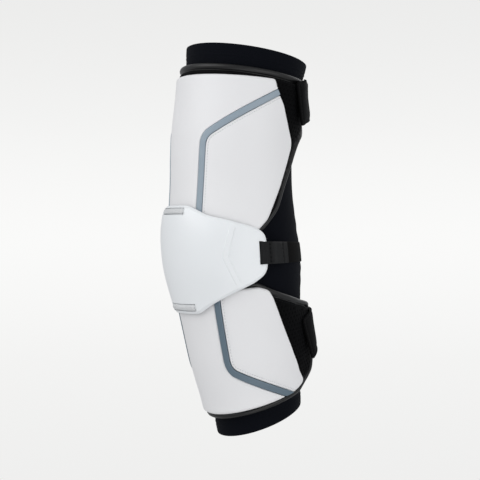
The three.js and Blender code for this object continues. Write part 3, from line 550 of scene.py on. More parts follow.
def padded_sheet(name, loop, low, high, spacing, rings, more=(), material=None, middle=0.0):
    """A closed body over a loop on the flattened arm, whose middle lies at an angle. low and
    high give the depths of its two faces, from points and their distances to the edge."""
    flat, faces = filled(loop, spacing, rings, more)
    gap = distance_to(flat, loop, True)
    angle = flat[:, 0] / MM_PER_DEGREE + middle
    top = place(angle, flat[:, 1], high(flat, gap))
    bottom = place(angle, flat[:, 1], low(flat, gap))
    under = len(flat)
    all_faces = faces + [tuple(i + under for i in reversed(f)) for f in faces]
    sides = {(a, b): None for f in faces for a, b in zip(f, f[1:] + f[:1])}
    all_faces += [(b, a, a + under, b + under) for a, b in sides if (b, a) not in sides]
    made = new_object(name, np.vstack([top, bottom]), all_faces, material)
    lay_coordinates(made, np.vstack([flat, flat]))
    return made


def swelled(loop, low, high, held, pressure, most):
    """How far the cloth over a padded outline swells: a plain body of it is held where another
    piece or a seam holds it, filled under pressure, and each point's rise is capped. Gives a
    function of points on the flattened arm, in millimetres."""
    piece = padded_sheet("swelling", loop, low, high, CLOTH_SPACING, CLOTH_RINGS)
    flat = laid_coordinates(piece)
    count = len(flat)
    upper = np.arange(count) < count // 2
    before = np.zeros(count * 3)
    piece.data.vertices.foreach_get("co", before)
    fixed = held(flat) | ~upper
    kept = piece.vertex_groups.new(name="held")
    kept.add([int(i) for i in np.where(fixed)[0]], 1.0, "REPLACE")
    filling = piece.modifiers.new("filling", "CLOTH")
    setting = filling.settings
    setting.vertex_group_mass = "held"
    setting.mass = CLOTH_POINT_MASS
    setting.use_pressure = True
    setting.uniform_pressure_force = pressure
    setting.effector_weights.gravity = 0
    setting.tension_stiffness = setting.compression_stiffness = CLOTH_STIFFNESS
    setting.shear_stiffness, setting.bending_stiffness = CLOTH_STIFFNESS, CLOTH_BENDING
    filling.point_cache.frame_start, filling.point_cache.frame_end = 1, CLOTH_FRAMES
    scene = bpy.context.scene
    for frame_number in range(1, CLOTH_FRAMES + 1):
        scene.frame_set(frame_number)
    graph = bpy.context.evaluated_depsgraph_get()
    after = np.zeros(count * 3)
    piece.evaluated_get(graph).data.vertices.foreach_get("co", after)
    moved = (after - before).reshape(-1, 3) / MM
    angle, height = flat[:, 0] / MM_PER_DEGREE, flat[:, 1]
    outward = place(angle, height, 1.0) - place(angle, height, 0.0)
    rise = np.clip((moved * outward).sum(1), 0, most)[upper]
    known = flat[upper]
    scene.frame_set(1)
    bpy.data.objects.remove(piece)

    def blended(part):
        gap = np.linalg.norm(part[:, None] - known[None], axis=-1)
        weight = np.exp(-((gap / CLOTH_SPREAD) ** 2)) + 1e-9
        return (weight * rise).sum(1) / weight.sum(1)

    return lambda flat: in_parts(blended, np.asarray(flat, float), 800)


def ring_faces(rings, count):
    """Faces that join rings of points, each to the next."""
    return [
        (k * count + c, k * count + (c + 1) % count)
        + ((k + 1) * count + (c + 1) % count, (k + 1) * count + c)
        for k in range(rings - 1)
        for c in range(count)
    ]


def edge_drop(gap, radius):
    """How far a rounded edge lies below the face, by the distance from the edge."""
    inner = np.clip(radius - gap, 0, radius)
    return radius - np.sqrt(np.maximum(radius**2 - inner**2, 0))


def thread_row(name, path, depth, pitch, length, radius, material, middle=0.0):
    """Stitches along a line on the flattened arm, each a short thread that dips at its ends."""
    path = resampled(path, 0.25)
    along, steps = directions(path), travelled(path)
    count = int(steps[-1] // pitch)
    points, faces, flats = [], [], []
    spin = np.arange(STITCH_SIDES) * 2 * math.pi / STITCH_SIDES
    thread = ring_faces(len(STITCH_SHARES), STITCH_SIDES)
    thread.append(tuple(range(STITCH_SIDES)))
    thread.append(tuple(range(len(STITCH_SHARES) * STITCH_SIDES))[: -STITCH_SIDES - 1 : -1])
    for k in range(count):
        middle_at = (k + 0.5) * steps[-1] / count
        base = len(points)
        for share in STITCH_SHARES:
            at = middle_at + share * length / 2
            p = np.array([np.interp(at, steps, path[:, i]) for i in range(2)])
            t = np.array([np.interp(at, steps, along[:, i]) for i in range(2)])
            across = np.array((t[1], -t[0]))
            thick = radius * (1 - 0.55 * share**4)
            sunk = radius * (0.45 - 1.5 * share**4)
            for a in spin:
                q = p + across * (math.cos(a) * thick)
                lift = float(depth(q[None])[0]) + sunk + math.sin(a) * thick * 0.8
                points.append(place(q[0] / MM_PER_DEGREE + middle, q[1], lift))
                flats.append(q)
        faces += [tuple(base + i for i in face) for face in thread]
    made = new_object(name, np.array(points), faces, material)
    lay_coordinates(made, np.array(flats))
    return made


def mirrored_copy(piece, name):
    """The same piece on the arm's other side."""
    mesh = piece.data.copy()
    mesh.name = name
    co = np.zeros(len(mesh.vertices) * 3, np.float32)
    mesh.vertices.foreach_get("co", co)
    co = co.reshape(-1, 3) * (-1, 1, 1)
    mesh.vertices.foreach_set("co", co.ravel())
    mesh.flip_normals()
    return linked(name, mesh)


def on_both_sides(piece):
    """The right-hand piece and its mirrored copy, each with its side."""
    return (piece, "right"), (mirrored_copy(piece, piece.name.replace("right", "left")), "left")


def ribbon(name, path, thickness, half_width, put, material, ribs=None):
    """A band of webbing along a path of [along, depth] points: put(along, depth, across)
    gives each point. Its long edges are rounded, and ribs(distance) raises its face."""
    path = resampled(path, 0.5)
    along, steps = directions(path), travelled(path)
    side = np.stack([-along[:, 1], along[:, 0]], 1)
    shares = np.linspace(-1, 1, 25)
    edge = np.clip((1 - np.abs(shares)) * half_width / WEBBING_EDGE, 0, 1)
    swell = np.sqrt(np.maximum(1 - (1 - edge) ** 2, 0)) * 0.85 + 0.15
    section = [*zip(shares, swell), *zip(shares[::-1], -swell[::-1])]
    raised = ribs(steps) if ribs else np.zeros(len(path))
    points, flats = [], []
    for i in range(len(path)):
        for s, w in section:
            at = path[i] + side[i] * w * (thickness / 2 + raised[i])
            points.append(put(at[0], at[1], s * half_width))
            flats.append((steps[i], s * half_width))
    loop = len(section)
    faces = ring_faces(len(path), loop)
    faces.append(tuple(range(loop))[::-1])
    faces.append(tuple((len(path) - 1) * loop + j for j in range(loop)))
    made = new_object(name, np.array(points), faces, material)
    lay_coordinates(made, np.array(flats))
    return made


# Materials


def group(name, inputs, outputs):
    made = bpy.data.node_groups.new(name, "ShaderNodeTree")
    for label, kind, default in inputs:
        socket = made.interface.new_socket(label, in_out="INPUT", socket_type=kind)
        socket.default_value = default
    for label, kind in outputs:
        made.interface.new_socket(label, in_out="OUTPUT", socket_type=kind)
    return made, made.nodes.new("NodeGroupInput"), made.nodes.new("NodeGroupOutput")


def node(tree, kind, inputs=None, **settings):
    """A new node. Each of its inputs is a value or another node's output."""
    made = tree.nodes.new("ShaderNode" + kind)
    for name, value in settings.items():
        setattr(made, name, value)
    for name, value in (inputs or {}).items():
        if isinstance(value, bpy.types.NodeSocket):
            tree.links.new(value, made.inputs[name])
        else:
            made.inputs[name].default_value = value
    return made


def math_node(tree, operation, a, b=0.5, clamp=False):
    return node(tree, "Math", {0: a, 1: b}, operation=operation, use_clamp=clamp).outputs[0]


def noise(tree, vector, scale, detail):
    inputs = {"Vector": vector, "Scale": scale, "Detail": detail}
    return node(tree, "TexNoise", inputs).outputs["Fac"]


def make_weave_group():
    """Crossing threads on the cloth's coordinates: a height, and a mask of the gaps between the threads
    that paints shade into them.
    """
    tree, inp, out = group(
        "Woven Threads",
        [("Pitch", "NodeSocketFloat", 1.0), ("Rib Share", "NodeSocketFloat", 0.5),
         ("Unevenness", "NodeSocketFloat", 0.2)],
        [("Height", "NodeSocketFloat"), ("Gap", "NodeSocketFloat")],
    )
    flat = node(tree, "Attribute", attribute_name="cloth").outputs["Vector"]
    parts = node(tree, "SeparateXYZ", {0: flat})
    wobble = noise(tree, flat, 0.35, 3.0)
    shift = math_node(tree, "MULTIPLY", wobble, inp.outputs["Unevenness"])
    turn = math_node(tree, "DIVIDE", 2 * math.pi, inp.outputs["Pitch"])
    waves = []
    for axis in (0, 1):
        moved = math_node(tree, "ADD", parts.outputs[axis], shift)
        swing = math_node(tree, "SINE", math_node(tree, "MULTIPLY", moved, turn))
        waves.append(math_node(tree, "ADD", math_node(tree, "MULTIPLY", swing, 0.5), 0.5))
    across = math_node(tree, "MULTIPLY", waves[0], inp.outputs["Rib Share"])
    rest = math_node(tree, "SUBTRACT", 1.0, inp.outputs["Rib Share"])
    along = math_node(tree, "MULTIPLY", waves[1], rest)
    height = math_node(tree, "ADD", across, along)
    tree.links.new(height, out.inputs["Height"])
    tree.links.new(math_node(tree, "SUBTRACT", 1.0, height, True), out.inputs["Gap"])
    return tree


def make_tone_group():
    """Slow and fine changes of tone and roughness over a surface."""
    tree, inp, out = group(
        "Uneven Tone",
        [("Colour", "NodeSocketColor", (0.8, 0.8, 0.8, 1)), ("Amount", "NodeSocketFloat", 0.1),
         ("Roughness", "NodeSocketFloat", 0.5), ("Spread", "NodeSocketFloat", 0.05)],
        [("Colour", "NodeSocketColor"), ("Roughness", "NodeSocketFloat")],
    )
    point = node(tree, "TexCoord").outputs["Object"]
    slow = math_node(tree, "MULTIPLY", noise(tree, point, 18.0, 2.0), 0.7)
    fine = math_node(tree, "MULTIPLY", noise(tree, point, 420.0, 2.0), 0.3)
    centred = math_node(tree, "SUBTRACT", math_node(tree, "ADD", slow, fine), 0.5)
    change = math_node(tree, "MULTIPLY", centred, inp.outputs["Amount"])
    factor = math_node(tree, "ADD", 1.0, change)
    inputs = {0: inp.outputs["Colour"], "Scale": factor}
    scaled = node(tree, "VectorMath", inputs, operation="SCALE")
    tree.links.new(scaled.outputs[0], out.inputs["Colour"])
    change = math_node(tree, "MULTIPLY", centred, inp.outputs["Spread"])
    roughness = math_node(tree, "ADD", inp.outputs["Roughness"], change, True)
    tree.links.new(roughness, out.inputs["Roughness"])
    return tree


def make_grain_group():
    """The fine pebble of a moulded or coated surface, as a height."""
    tree, inp, out = group(
        "Fine Grain",
        [("Scale", "NodeSocketFloat", 900.0), ("Softness", "NodeSocketFloat", 0.5)],
        [("Height", "NodeSocketFloat")],
    )
    point = node(tree, "TexCoord").outputs["Object"]
    inputs = {
        "Vector": point, "Scale": inp.outputs["Scale"], "Smoothness": inp.outputs["Softness"],
    }
    cells = node(tree, "TexVoronoi", inputs, feature="SMOOTH_F1")
    speck = math_node(tree, "MULTIPLY", noise(tree, point, 2400.0, 1.0), 0.25)
    total = math_node(tree, "ADD", cells.outputs["Distance"], speck)
    tree.links.new(total, out.inputs["Height"])
    return tree


def shader(name):
    made = bpy.data.materials.new(name)
    made.use_nodes = True
    return made, made.node_tree, made.node_tree.nodes["Principled BSDF"]


def use_group(tree, which, **values):
    inputs = {label.replace("_", " "): value for label, value in values.items()}
    return node(tree, "Group", inputs, node_tree=bpy.data.node_groups[which])


def bump_into(tree, bsdf, height, strength, distance):
    inputs = {"Strength": strength, "Distance": distance * MM, "Height": height}
    tree.links.new(node(tree, "Bump", inputs).outputs["Normal"], bsdf.inputs["Normal"])


def toned(tree, bsdf, colour, roughness, amount, spread):
    tone = use_group(
        tree, "Uneven Tone", Colour=(*colour, 1), Amount=amount, Roughness=roughness, Spread=spread
    )
    tree.links.new(tone.outputs["Colour"], bsdf.inputs["Base Color"])
    tree.links.new(tone.outputs["Roughness"], bsdf.inputs["Roughness"])
    return tone


def cloth_material(
    name, colour, pitch, rib_share, depth, roughness=0.85, sheen=0.012, strength=0.6, shine=0.07
):
    """A woven finish: pitch and depth of its threads in millimetres, the share of its ribs. Its colour
    is darkened to 0.55 in the weave's gaps as painted shade.
    """
    made, tree, bsdf = shader(name)
    tone = toned(tree, bsdf, colour, roughness, 0.5, 0.1)
    weave = use_group(
        tree, "Woven Threads", Pitch=pitch, Rib_Share=rib_share, Unevenness=pitch * 0.35
    )
    # Painted shade: the colour is multiplied by 0.55 where the threads dip into the weave's gaps.
    inputs = {
        "B": (0.55, 0.55, 0.55, 1), "Factor": weave.outputs["Gap"], "A": tone.outputs["Colour"],
    }
    shade = node(tree, "Mix", inputs, data_type="RGBA", blend_type="MULTIPLY")
    tree.links.new(shade.outputs["Result"], bsdf.inputs["Base Color"])
    bump_into(tree, bsdf, weave.outputs["Height"], strength, depth)
    bsdf.inputs["Sheen Weight"].default_value = sheen
    bsdf.inputs["Sheen Roughness"].default_value = 0.45
    bsdf.inputs["Sheen Tint"].default_value = (0.8, 0.88, 1, 1)
    bsdf.inputs["Specular IOR Level"].default_value = shine
    return made


def moulded_material(name, colour, roughness, scale, depth, coat=0.0):
    """A moulded finish: scale of its grain and the grain's depth in millimetres."""
    made, tree, bsdf = shader(name)
    toned(tree, bsdf, colour, roughness, 0.05, 0.12)
    grain = use_group(tree, "Fine Grain", Scale=scale, Softness=0.6)
    bump_into(tree, bsdf, grain.outputs["Height"], 0.35, depth)
    bsdf.inputs["Coat Weight"].default_value = coat
    bsdf.inputs["Coat Roughness"].default_value = 0.3
    return made


# key, kind, name, colour's name, then the values in the order that the kind takes them
FINISHES = (
    ("knit", cloth_material, "Navy Knit", "knit", 0.9, 0.7, 0.12),
    ("mesh", cloth_material, "Black Spacer Mesh", "mesh", 1.3, 0.5, 0.2),
    ("binding", cloth_material, "Black Rolled Edge", "binding", 0.6, 0.5, 0.05, 0.4, 0.01, 0.3, 0.42),
    ("strap", cloth_material, "Black Strap Cloth", "strap", 0.8, 0.5, 0.1, 0.75, 0.006),
    ("webbing", cloth_material, "Black Ribbed Webbing", "webbing", 1.0, 0.85, 0.2, 0.6, 0.01, 0.7, 0.15),
    ("elastic", cloth_material, "Black Elastic", "elastic", 1.1, 0.15, 0.2, 0.8),
    ("loop", cloth_material, "Pale Webbing", "loop", 0.9, 0.6, 0.1, 0.6, 0.05, 0.4, 0.3),
    ("black_thread", cloth_material, "Black Thread", "webbing", 0.4, 0.5, 0.05, 0.6),
    ("white_thread", cloth_material, "White Thread", "loop", 0.4, 0.5, 0.05, 0.6, 0.1),
    ("panel", moulded_material, "White Moulded Facing", "panel", 0.48, 900.0, 0.03),
    ("cap", moulded_material, "White Moulded Cap", "cap", 0.34, 500.0, 0.015, 0.15),
    ("upper_stripe", moulded_material, "Blue-Grey Inlay", "upper_stripe", 0.4, 1200.0, 0.02),
    # The lower stripes are the upper stripes' blue-grey painted darker: painted shade, as they face
    # down.
    ("lower_stripe", moulded_material, "Slate Inlay", "lower_stripe", 0.4, 1200.0, 0.02),
)


def make_materials(colours):
    make_weave_group()
    make_tone_group()
    make_grain_group()
    for key, make, name, hue, *values in FINISHES:
        make(name, getattr(colours, hue), *values)["finish"] = key


def finish_named(key):
    return next(m for m in bpy.data.materials if m.get("finish") == key)


def settle(piece, node=None):
    """The piece moves with the one body and stands for its solids."""
    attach(piece, "root")
    if node:
        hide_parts(node)
    return piece


# Sizes and colours that a user would change


def length(name, description, default):
    return FloatProperty(
        name=name, description=description, default=default * MM, min=0.0, unit="LENGTH",
        precision=5,
    )


def colour(name, description, default):
    return FloatVectorProperty(
        name=name, description=description, default=default, size=3, min=0.0, max=1.0, subtype="COLOR"
    )


class ArmPadColours(PropertyGroup):
    knit: colour("Knit", "Colour of the sleeve", (0.0026, 0.0034, 0.0062))
    mesh: colour("Mesh", "Colour of the padded bases", (0.0014, 0.0014, 0.0017))
    binding: colour("Rolled edge", "Colour of the bases' rolled edges", (0.0026, 0.0026, 0.0031))
    strap: colour("Straps", "Colour of the arm straps", (0.0018, 0.0018, 0.0021))
    webbing: colour("Webbing", "Colour of the elbow strap's tabs", (0.0100, 0.0106, 0.0114))
    elastic: colour("Elastic", "Colour of the elbow strap", (0.0036, 0.0033, 0.0033))
    loop: colour("Cap loops", "Colour of the cap's loops", (0.76, 0.775, 0.785))
    panel: colour("Panels", "Colour of the moulded panels", (0.75, 0.75, 0.76))
    cap: colour("Cap", "Colour of the elbow cap", (0.772, 0.795, 0.812))
    upper_stripe: colour("Upper stripes", "Colour of the upper inlays", (0.256, 0.316, 0.37))
    # The same blue-grey as the upper inlays, painted darker as painted shade because the lower ones face
    # down.
    lower_stripe: colour("Lower stripes", "Colour of the lower inlays", (0.1, 0.144, 0.182))


class ArmPadSizes(PropertyGroup):
    roll: length("Rolled edge", "Width of the bases' rolled edges", 6.0)
    seam: length("Seam depth", "How deep the seams are drawn in", 1.1)
    panel_edge: length("Panel edge", "Radius of the panels' outer edges", 2.6)
    stripe_edge: length("Panel edge at stripes", "Radius of the panels' edges beside the stripes", 1.0)
    stitch_pitch: length("Stitch pitch", "Distance from one stitch to the next", 2.5)
    stitch_length: length("Stitch length", "Length of thread that shows in each stitch", 1.7)
    thread: length("Thread", "Radius of the thread", 0.3)
    stitch_inset: length("Stitch inset", "Distance of the stitches from a panel's edge", 2.3)
    groove: length("Stitch groove", "How far the stitches are drawn into a panel", 0.3)
    ridge: length("Cap ridge", "Height of the ridge before each wing of the cap", 0.5)
    ridge_width: length("Ridge width", "Width of the ridge before each wing", 4.2)
    wing_drop: length("Wing drop", "How far the cap's wings lie below its middle", 0.3)
    bead: length("Cap bead", "Height of the bead inside the cap's rim", 0.3)
    fold: length("Sleeve folds", "Height of the folds inside the elbow", 0.45)
    hole_pitch: length("Mesh holes", "Distance between the holes of the mesh", 4.6)
    most_swell: length("Most swelling", "Cap on how far the padding swells under its filling", 1.0)
    pressure: FloatProperty(
        name="Filling", description="Pressure of the padding's filling", default=25.0, min=0.0
    )
    columns: IntProperty(
        name="Sleeve columns", description="Steps round the sleeve", default=180, min=24
    )
    rows: IntProperty(name="Sleeve rows", description="Steps up the sleeve", default=150, min=24)


def sizes():
    return bpy.context.scene.arm_pad_sizes


# The pieces


class ARMPAD_OT_materials(Operator):
    """Makes the finishes that the pieces use"""

    bl_idname = "arm_pad.materials"
    bl_label = "Finishes"

    def execute(self, context):
        make_materials(context.scene.arm_pad_colours)
        return {"FINISHED"}


class ARMPAD_OT_sleeve(Operator):
    """Builds the knitted sleeve with its hems and the folds inside the elbow"""

    bl_idname = "arm_pad.sleeve"
    bl_label = "Sleeve"
    # Extra rows near each end, and the hem's width, all in millimetres from that end
    HEM_ROWS, HEM = (0.5, 1.2, 2, 3, 9, 10, 11, 12), 10.0
    # Radius at which the knit is laid flat for its weave
    FLAT_RADIUS = 53

    def execute(self, context):
        size = sizes()
        angles = np.arange(size.columns) * 360.0 / size.columns
        heights = np.linspace(-FOREARM_LENGTH, UPPER_LENGTH, size.rows)
        from_end = np.array(self.HEM_ROWS)
        heights = [heights, UPPER_LENGTH - from_end, -FOREARM_LENGTH + from_end]
        angle, height = np.meshgrid(angles, np.unique(np.concatenate(heights)))
        from_end = np.minimum(UPPER_LENGTH - height, height + FOREARM_LENGTH)
        round_over = edge_drop(from_end, SLEEVE_WALL / 2)
        outer = self.relief(angle, height, size.fold / MM) - round_over
        depths = (outer, np.full_like(outer, -SLEEVE_WALL) + round_over)
        points = np.concatenate([place(angle, height, depth).reshape(-1, 3) for depth in depths])
        rows, columns = angle.shape
        under = rows * columns
        faces = ring_faces(rows, columns)
        faces += [tuple(i + under for i in reversed(face)) for face in faces]
        for c in range(columns):
            a, b = c, (c + 1) % columns
            faces.append((b, a, a + under, b + under))
            a, b = a + (rows - 1) * columns, b + (rows - 1) * columns
            faces.append((a, b, b + under, a + under))
        piece = new_object("sleeve_knit", points, faces, finish_named("knit"))
        flat = np.stack([angle * math.radians(self.FLAT_RADIUS), height], -1).reshape(-1, 2)
        lay_coordinates(piece, np.vstack([flat, flat]))
        settle(piece, "sleeve")
        return {"FINISHED"}

    @classmethod
    def relief(cls, angle, height, fold):
        """Height of the hems and folds over the plain sleeve."""
        hems = sum(
            0.45 * (1 - smooth(end, cls.HEM, cls.HEM + 1)) - drawn_in(end - cls.HEM + 1, 0.35, 0.7)
            for end in (UPPER_LENGTH - height, height + FOREARM_LENGTH)
        )
        behind = smooth(np.abs(angle - 180), 75, 15)
        bend = np.exp(-((height / 34.0) ** 2))
        wander = 6 * np.sin(np.radians(angle * 3)) + 3 * np.sin(np.radians(angle * 7 + 40))
        return hems + fold * behind * bend * wave(height + wander, 1.0, 15.0)


class ARMPAD_OT_bases(Operator):
    """Builds the padded bases with their rolled edges and open mesh"""

    bl_idname = "arm_pad.bases"
    bl_label = "Padded bases"
    # How far inside the rolled edge its stitches lie, and the radii of a hole's floor and rim
    STITCH_SEAM, HOLE_FLOOR, HOLE_RIM = 1.9, 0.35, 1.05

    def execute(self, context):
        size = sizes()
        roll, seam = size.roll / MM, size.seam / MM
        for name, table, ends, panel in (
            ("upper_base", UPPER_BASE_OUTLINE, UPPER_BASE, UPPER_PANELS),
            ("lower_base", LOWER_BASE_OUTLINE, LOWER_BASE, LOWER_PANELS),
        ):
            rows = outline_rows(table, ends, BASE_HALF_ANGLE)
            left = rows[::-1] * (-1, 1)
            loop = anticlockwise(softened(resampled(np.vstack([rows, left]), 2.0, True), 8))
            cover = outline_rows(*panel[:3])
            covered = lambda flat, more: np.abs(flat[:, 0]) < more + np.interp(
                flat[:, 1], cover[:, 1], cover[:, 0], left=0, right=0
            )
            holes = self.holes(loop, roll, size.hole_pitch / MM)
            holes = holes[~covered(holes, -1.0)]
            plain = lambda flat, gap: self.face(flat, gap, roll, seam, ())
            under = lambda flat, gap: np.full(len(flat), SLEEVE_GAP)
            held = lambda flat: (distance_to(flat, loop, True) < roll + 1) | covered(flat, 2)
            puff = swelled(loop, under, plain, held, size.pressure, size.most_swell / MM)
            high = lambda flat, gap: self.face(flat, gap, roll, seam, holes) + puff(flat)
            low = lambda flat, gap: (
                SLEEVE_GAP + 0.2 * self.full(flat) * (1 - smooth(gap, 0, roll / 2))
            )
            rings = (0.3, 0.8, 1.6, roll / 2, roll * 0.72, roll * 0.88)
            rings += (roll, roll + 0.6, roll + 1.4, roll + 2.6)
            around = [
                hole + radius * np.array((math.cos(t), math.sin(t)))
                for hole in holes
                for radius, count in ((0.55, 6), (self.HOLE_RIM, 8))
                for t in np.arange(count) * 2 * math.pi / count
            ]
            more = np.vstack([holes, around]) if len(holes) else ()
            mesh = finish_named("mesh")
            piece = padded_sheet(name + "_mesh", loop, low, high, 4.0, rings, more, mesh)
            self.bind(piece, loop, roll)
            settle(piece, name + "_pad")
            seam_line = inset(loop, roll + self.STITCH_SEAM)
            stitches = thread_row(
                name + "_edge_stitches",
                np.vstack([seam_line, seam_line[:1]]),
                lambda q: plain(q, distance_to(q, loop, True)) + puff(q),
                *BASE_STITCHES, size.thread / MM, finish_named("black_thread"),
            )
            settle(stitches)
        return {"FINISHED"}

    @staticmethod
    def holes(loop, roll, pitch):
        """Middles of the mesh's holes, clear of the rolled edge and its stitches."""
        found = lattice(loop.min(0), loop.max(0), pitch)
        found = found[inside(found, loop)]
        return found[distance_to(found, loop, True) > roll + 4.2]

    @staticmethod
    def full(flat):
        """A base's whole depth."""
        swell = side_swell(flat[:, 0] / MM_PER_DEGREE, flat[:, 1])
        return base_top(flat[:, 1]) + swell - SLEEVE_GAP

    @classmethod
    def face(cls, flat, gap, roll, seam, holes):
        """Depth of a base's outer face: a round roll, a seam and the mesh inside it."""
        half = roll / 2
        outer = np.maximum(1 - ((gap - half) / half) ** 2, 0)
        inner = np.maximum(1 - ((np.minimum(gap, roll) - half) / half) ** 2 * 0.75, 0)
        rounded = np.sqrt(np.where(gap < half, outer, inner))
        field = 0.93 - 0.10 * (1 - smooth(gap, roll, roll + 3))
        level = np.where(gap < roll, 0.25 + 0.75 * rounded, field)
        drawn = drawn_in(gap - roll, seam, 0.9) + drawn_in(gap - roll - cls.STITCH_SEAM, 0.35, 0.6)
        depth = SLEEVE_GAP + cls.full(flat) * level - drawn
        if len(holes):
            to_holes = lambda part: np.hypot(
                part[:, :1] - holes[:, 0], part[:, 1:] - holes[:, 1]
            ).min(1)
            near = in_parts(to_holes, flat)
            depth = depth - 0.9 * (1 - smooth(near, cls.HOLE_FLOOR, cls.HOLE_RIM))
        return depth

    @staticmethod
    def bind(piece, loop, roll):
        """Gives the rolled edge its smoother cloth."""
        piece.data.materials.append(finish_named("binding"))
        gap = distance_to(laid_coordinates(piece), loop, True)
        for face in piece.data.polygons:
            if np.mean(gap[list(face.vertices)]) < roll + 0.2:
                face.material_index = 1


class ARMPAD_OT_panels(Operator):
    """Builds the moulded panels with their stitched edges"""

    bl_idname = "arm_pad.panels"
    bl_label = "Moulded panels"

    def execute(self, context):
        size = sizes()
        for limb, row in (("upper", UPPER_PANELS), ("lower", LOWER_PANELS)):
            centre, flank = panel_loops(*row)
            line, side = row[3:]
            away = STRIPE_WIDTH / 2 + SEAM_GAP + size.stitch_inset / MM
            seam_far = beside(line, side * away)
            piece = self.panel(f"{limb}_centre_facing", centre, line, [])
            settle(piece, f"{limb}_centre_panel")
            right = self.panel(f"{limb}_side_facing_right", flank, line, [seam_far])
            for piece, hand in on_both_sides(right):
                settle(piece, f"{limb}_side_panel_{hand}")
            kept = seam_far[inside(seam_far, flank)]
            kept = kept[distance_to(kept, flank, True) > size.stitch_inset / MM * 0.8]
            face = lambda q: panel_face(q[:, 1]) - size.groove / MM
            stitches = thread_row(
                f"{limb}_side_stitches_right", kept, face, size.stitch_pitch / MM,
                size.stitch_length / MM, size.thread / MM, finish_named("white_thread"),
            )
            for piece, _ in on_both_sides(stitches):
                settle(piece)
        return {"FINISHED"}

    @staticmethod
    def panel(name, loop, line, seams):
        size = sizes()
        outer, beside_stripe = size.panel_edge / MM, size.stripe_edge / MM
        both_lines = [line, line * (-1, 1)]

        def high(flat, gap):
            to_stripe = np.minimum.reduce([distance_to(flat, each) for each in both_lines])
            radius = np.where(to_stripe < STRIPE_WIDTH / 2 + SEAM_GAP + 1.5, beside_stripe, outer)
            drop = edge_drop(gap, radius)
            groove = sum(drawn_in(distance_to(flat, seam), size.groove / MM, 0.7) for seam in seams)
            return panel_face(flat[:, 1]) - drop - groove * smooth(gap, 0.8, 1.8)

        low = lambda flat, gap: panel_seat(flat[:, 1])
        steps = (-1.5, -0.7, 0, 0.7, 1.5)
        more = [beside(resampled(seam, 1.2), step) for seam in seams for step in steps]
        more = np.vstack(more) if more else ()
        rings = (0.15, 0.4, 0.8, 1.3, 1.9, 2.7, 4.0)
        return padded_sheet(name, loop, low, high, 3.5, rings, more, finish_named("panel"))


class ARMPAD_OT_stripes(Operator):
    """Builds the inlaid stripes between the panels"""

    bl_idname = "arm_pad.stripes"
    bl_label = "Stripes"

    def execute(self, context):
        half = STRIPE_WIDTH / 2 + SEAM_GAP / 2
        for limb, (*outline, line, _), proud in (
            ("upper", UPPER_PANELS, UPPER_PROUD),
            ("lower", LOWER_PANELS, LOWER_PROUD),
        ):
            rows = outline_rows(*outline)
            bottom, top = outline[1]
            edges = []
            for hand in (1, -1):
                edge = resampled(beside(line, hand * half), 0.5)
                around, height = edge.T
                kept = around < np.interp(height, rows[:, 1], rows[:, 0]) - STRIPE_MARGIN
                edges.append(edge[kept & (height > bottom + STRIPE_MARGIN) & (height < top)])
            loop = np.vstack([edges[0], edges[1][::-1]])
            loop = anticlockwise(softened(resampled(loop, 0.8, True), 1))
            high = lambda flat, gap: panel_face(flat[:, 1]) + proud - edge_drop(gap, 0.6)
            low = lambda flat, gap: panel_seat(flat[:, 1])
            finish = finish_named(f"{limb}_stripe")
            rings = (0.25, 0.7, 1.6)
            right = padded_sheet(f"{limb}_inlay_right", loop, low, high, 2.5, rings, (), finish)
            for piece, hand in on_both_sides(right):
                settle(piece, f"{limb}_stripe_{hand}")
        return {"FINISHED"}


def cap_loop_points(step):
    """The cap's outline in shares all the way round, with its corners rounded."""
    right = np.array(CAP_OUTLINE, float)
    left = right[1:-1][::-1] * (-1, 1)
    scale = np.array((CAP_HALF_ANGLE * MM_PER_DEGREE, CAP_RISE))
    loop = softened(resampled(np.vstack([right, left]) * scale, step, True), 6)
    return loop / scale


CAP_LOOP = cap_loop_points(1.6)
CAP_DIRECTIONS = np.arctan2(CAP_LOOP[:, 0], CAP_LOOP[:, 1])
CAP_ORDER = np.argsort(CAP_DIRECTIONS)


def rim_share(direction):
    """How far out the cap's outline lies in a direction."""
    found = CAP_DIRECTIONS[CAP_ORDER]
    reach = np.hypot(*CAP_LOOP.T)[CAP_ORDER]
    return np.interp(direction, found, reach, period=2 * math.pi)


def cap_faces(direction, share):
    """Angle, height and the depth of the cap's inner face, a share of the way out."""
    direction, share = np.asarray(direction, float), np.asarray(share, float)
    up = np.cos(direction)
    end = np.where(up > 0, SHOULDER_TOP, SHOULDER_BOTTOM)
    shoulder = SHOULDER_SIDE + (end - SHOULDER_SIDE) * up * up
    far = rim_share(direction) * share
    height = far * up * np.where(up > 0, CAP_RISE, CAP_DROP)
    level = 1 - smooth(np.abs(height) / CAP_RISE, *WING_LEVEL)
    dip = CAP_SIDE_DIP * level * smooth(far * np.abs(np.sin(direction)), WING_START, 1)
    seat = sum(panel_face(height + step) for step in CAP_SMOOTHING) / len(CAP_SMOOTHING)
    inner = seat + CAP_STANDOFF - dip + CAP_DOME * (1 - share**shoulder)
    return far * np.sin(direction) * CAP_HALF_ANGLE, height, inner


def cap_inner_at(angle, height):
    around = np.asarray(angle, float) / CAP_HALF_ANGLE
    height = np.asarray(height, float)
    up = height / np.where(height < 0, CAP_DROP, CAP_RISE)
    direction = np.arctan2(around, up)
    return cap_faces(direction, np.hypot(around, up) / rim_share(direction))[2]


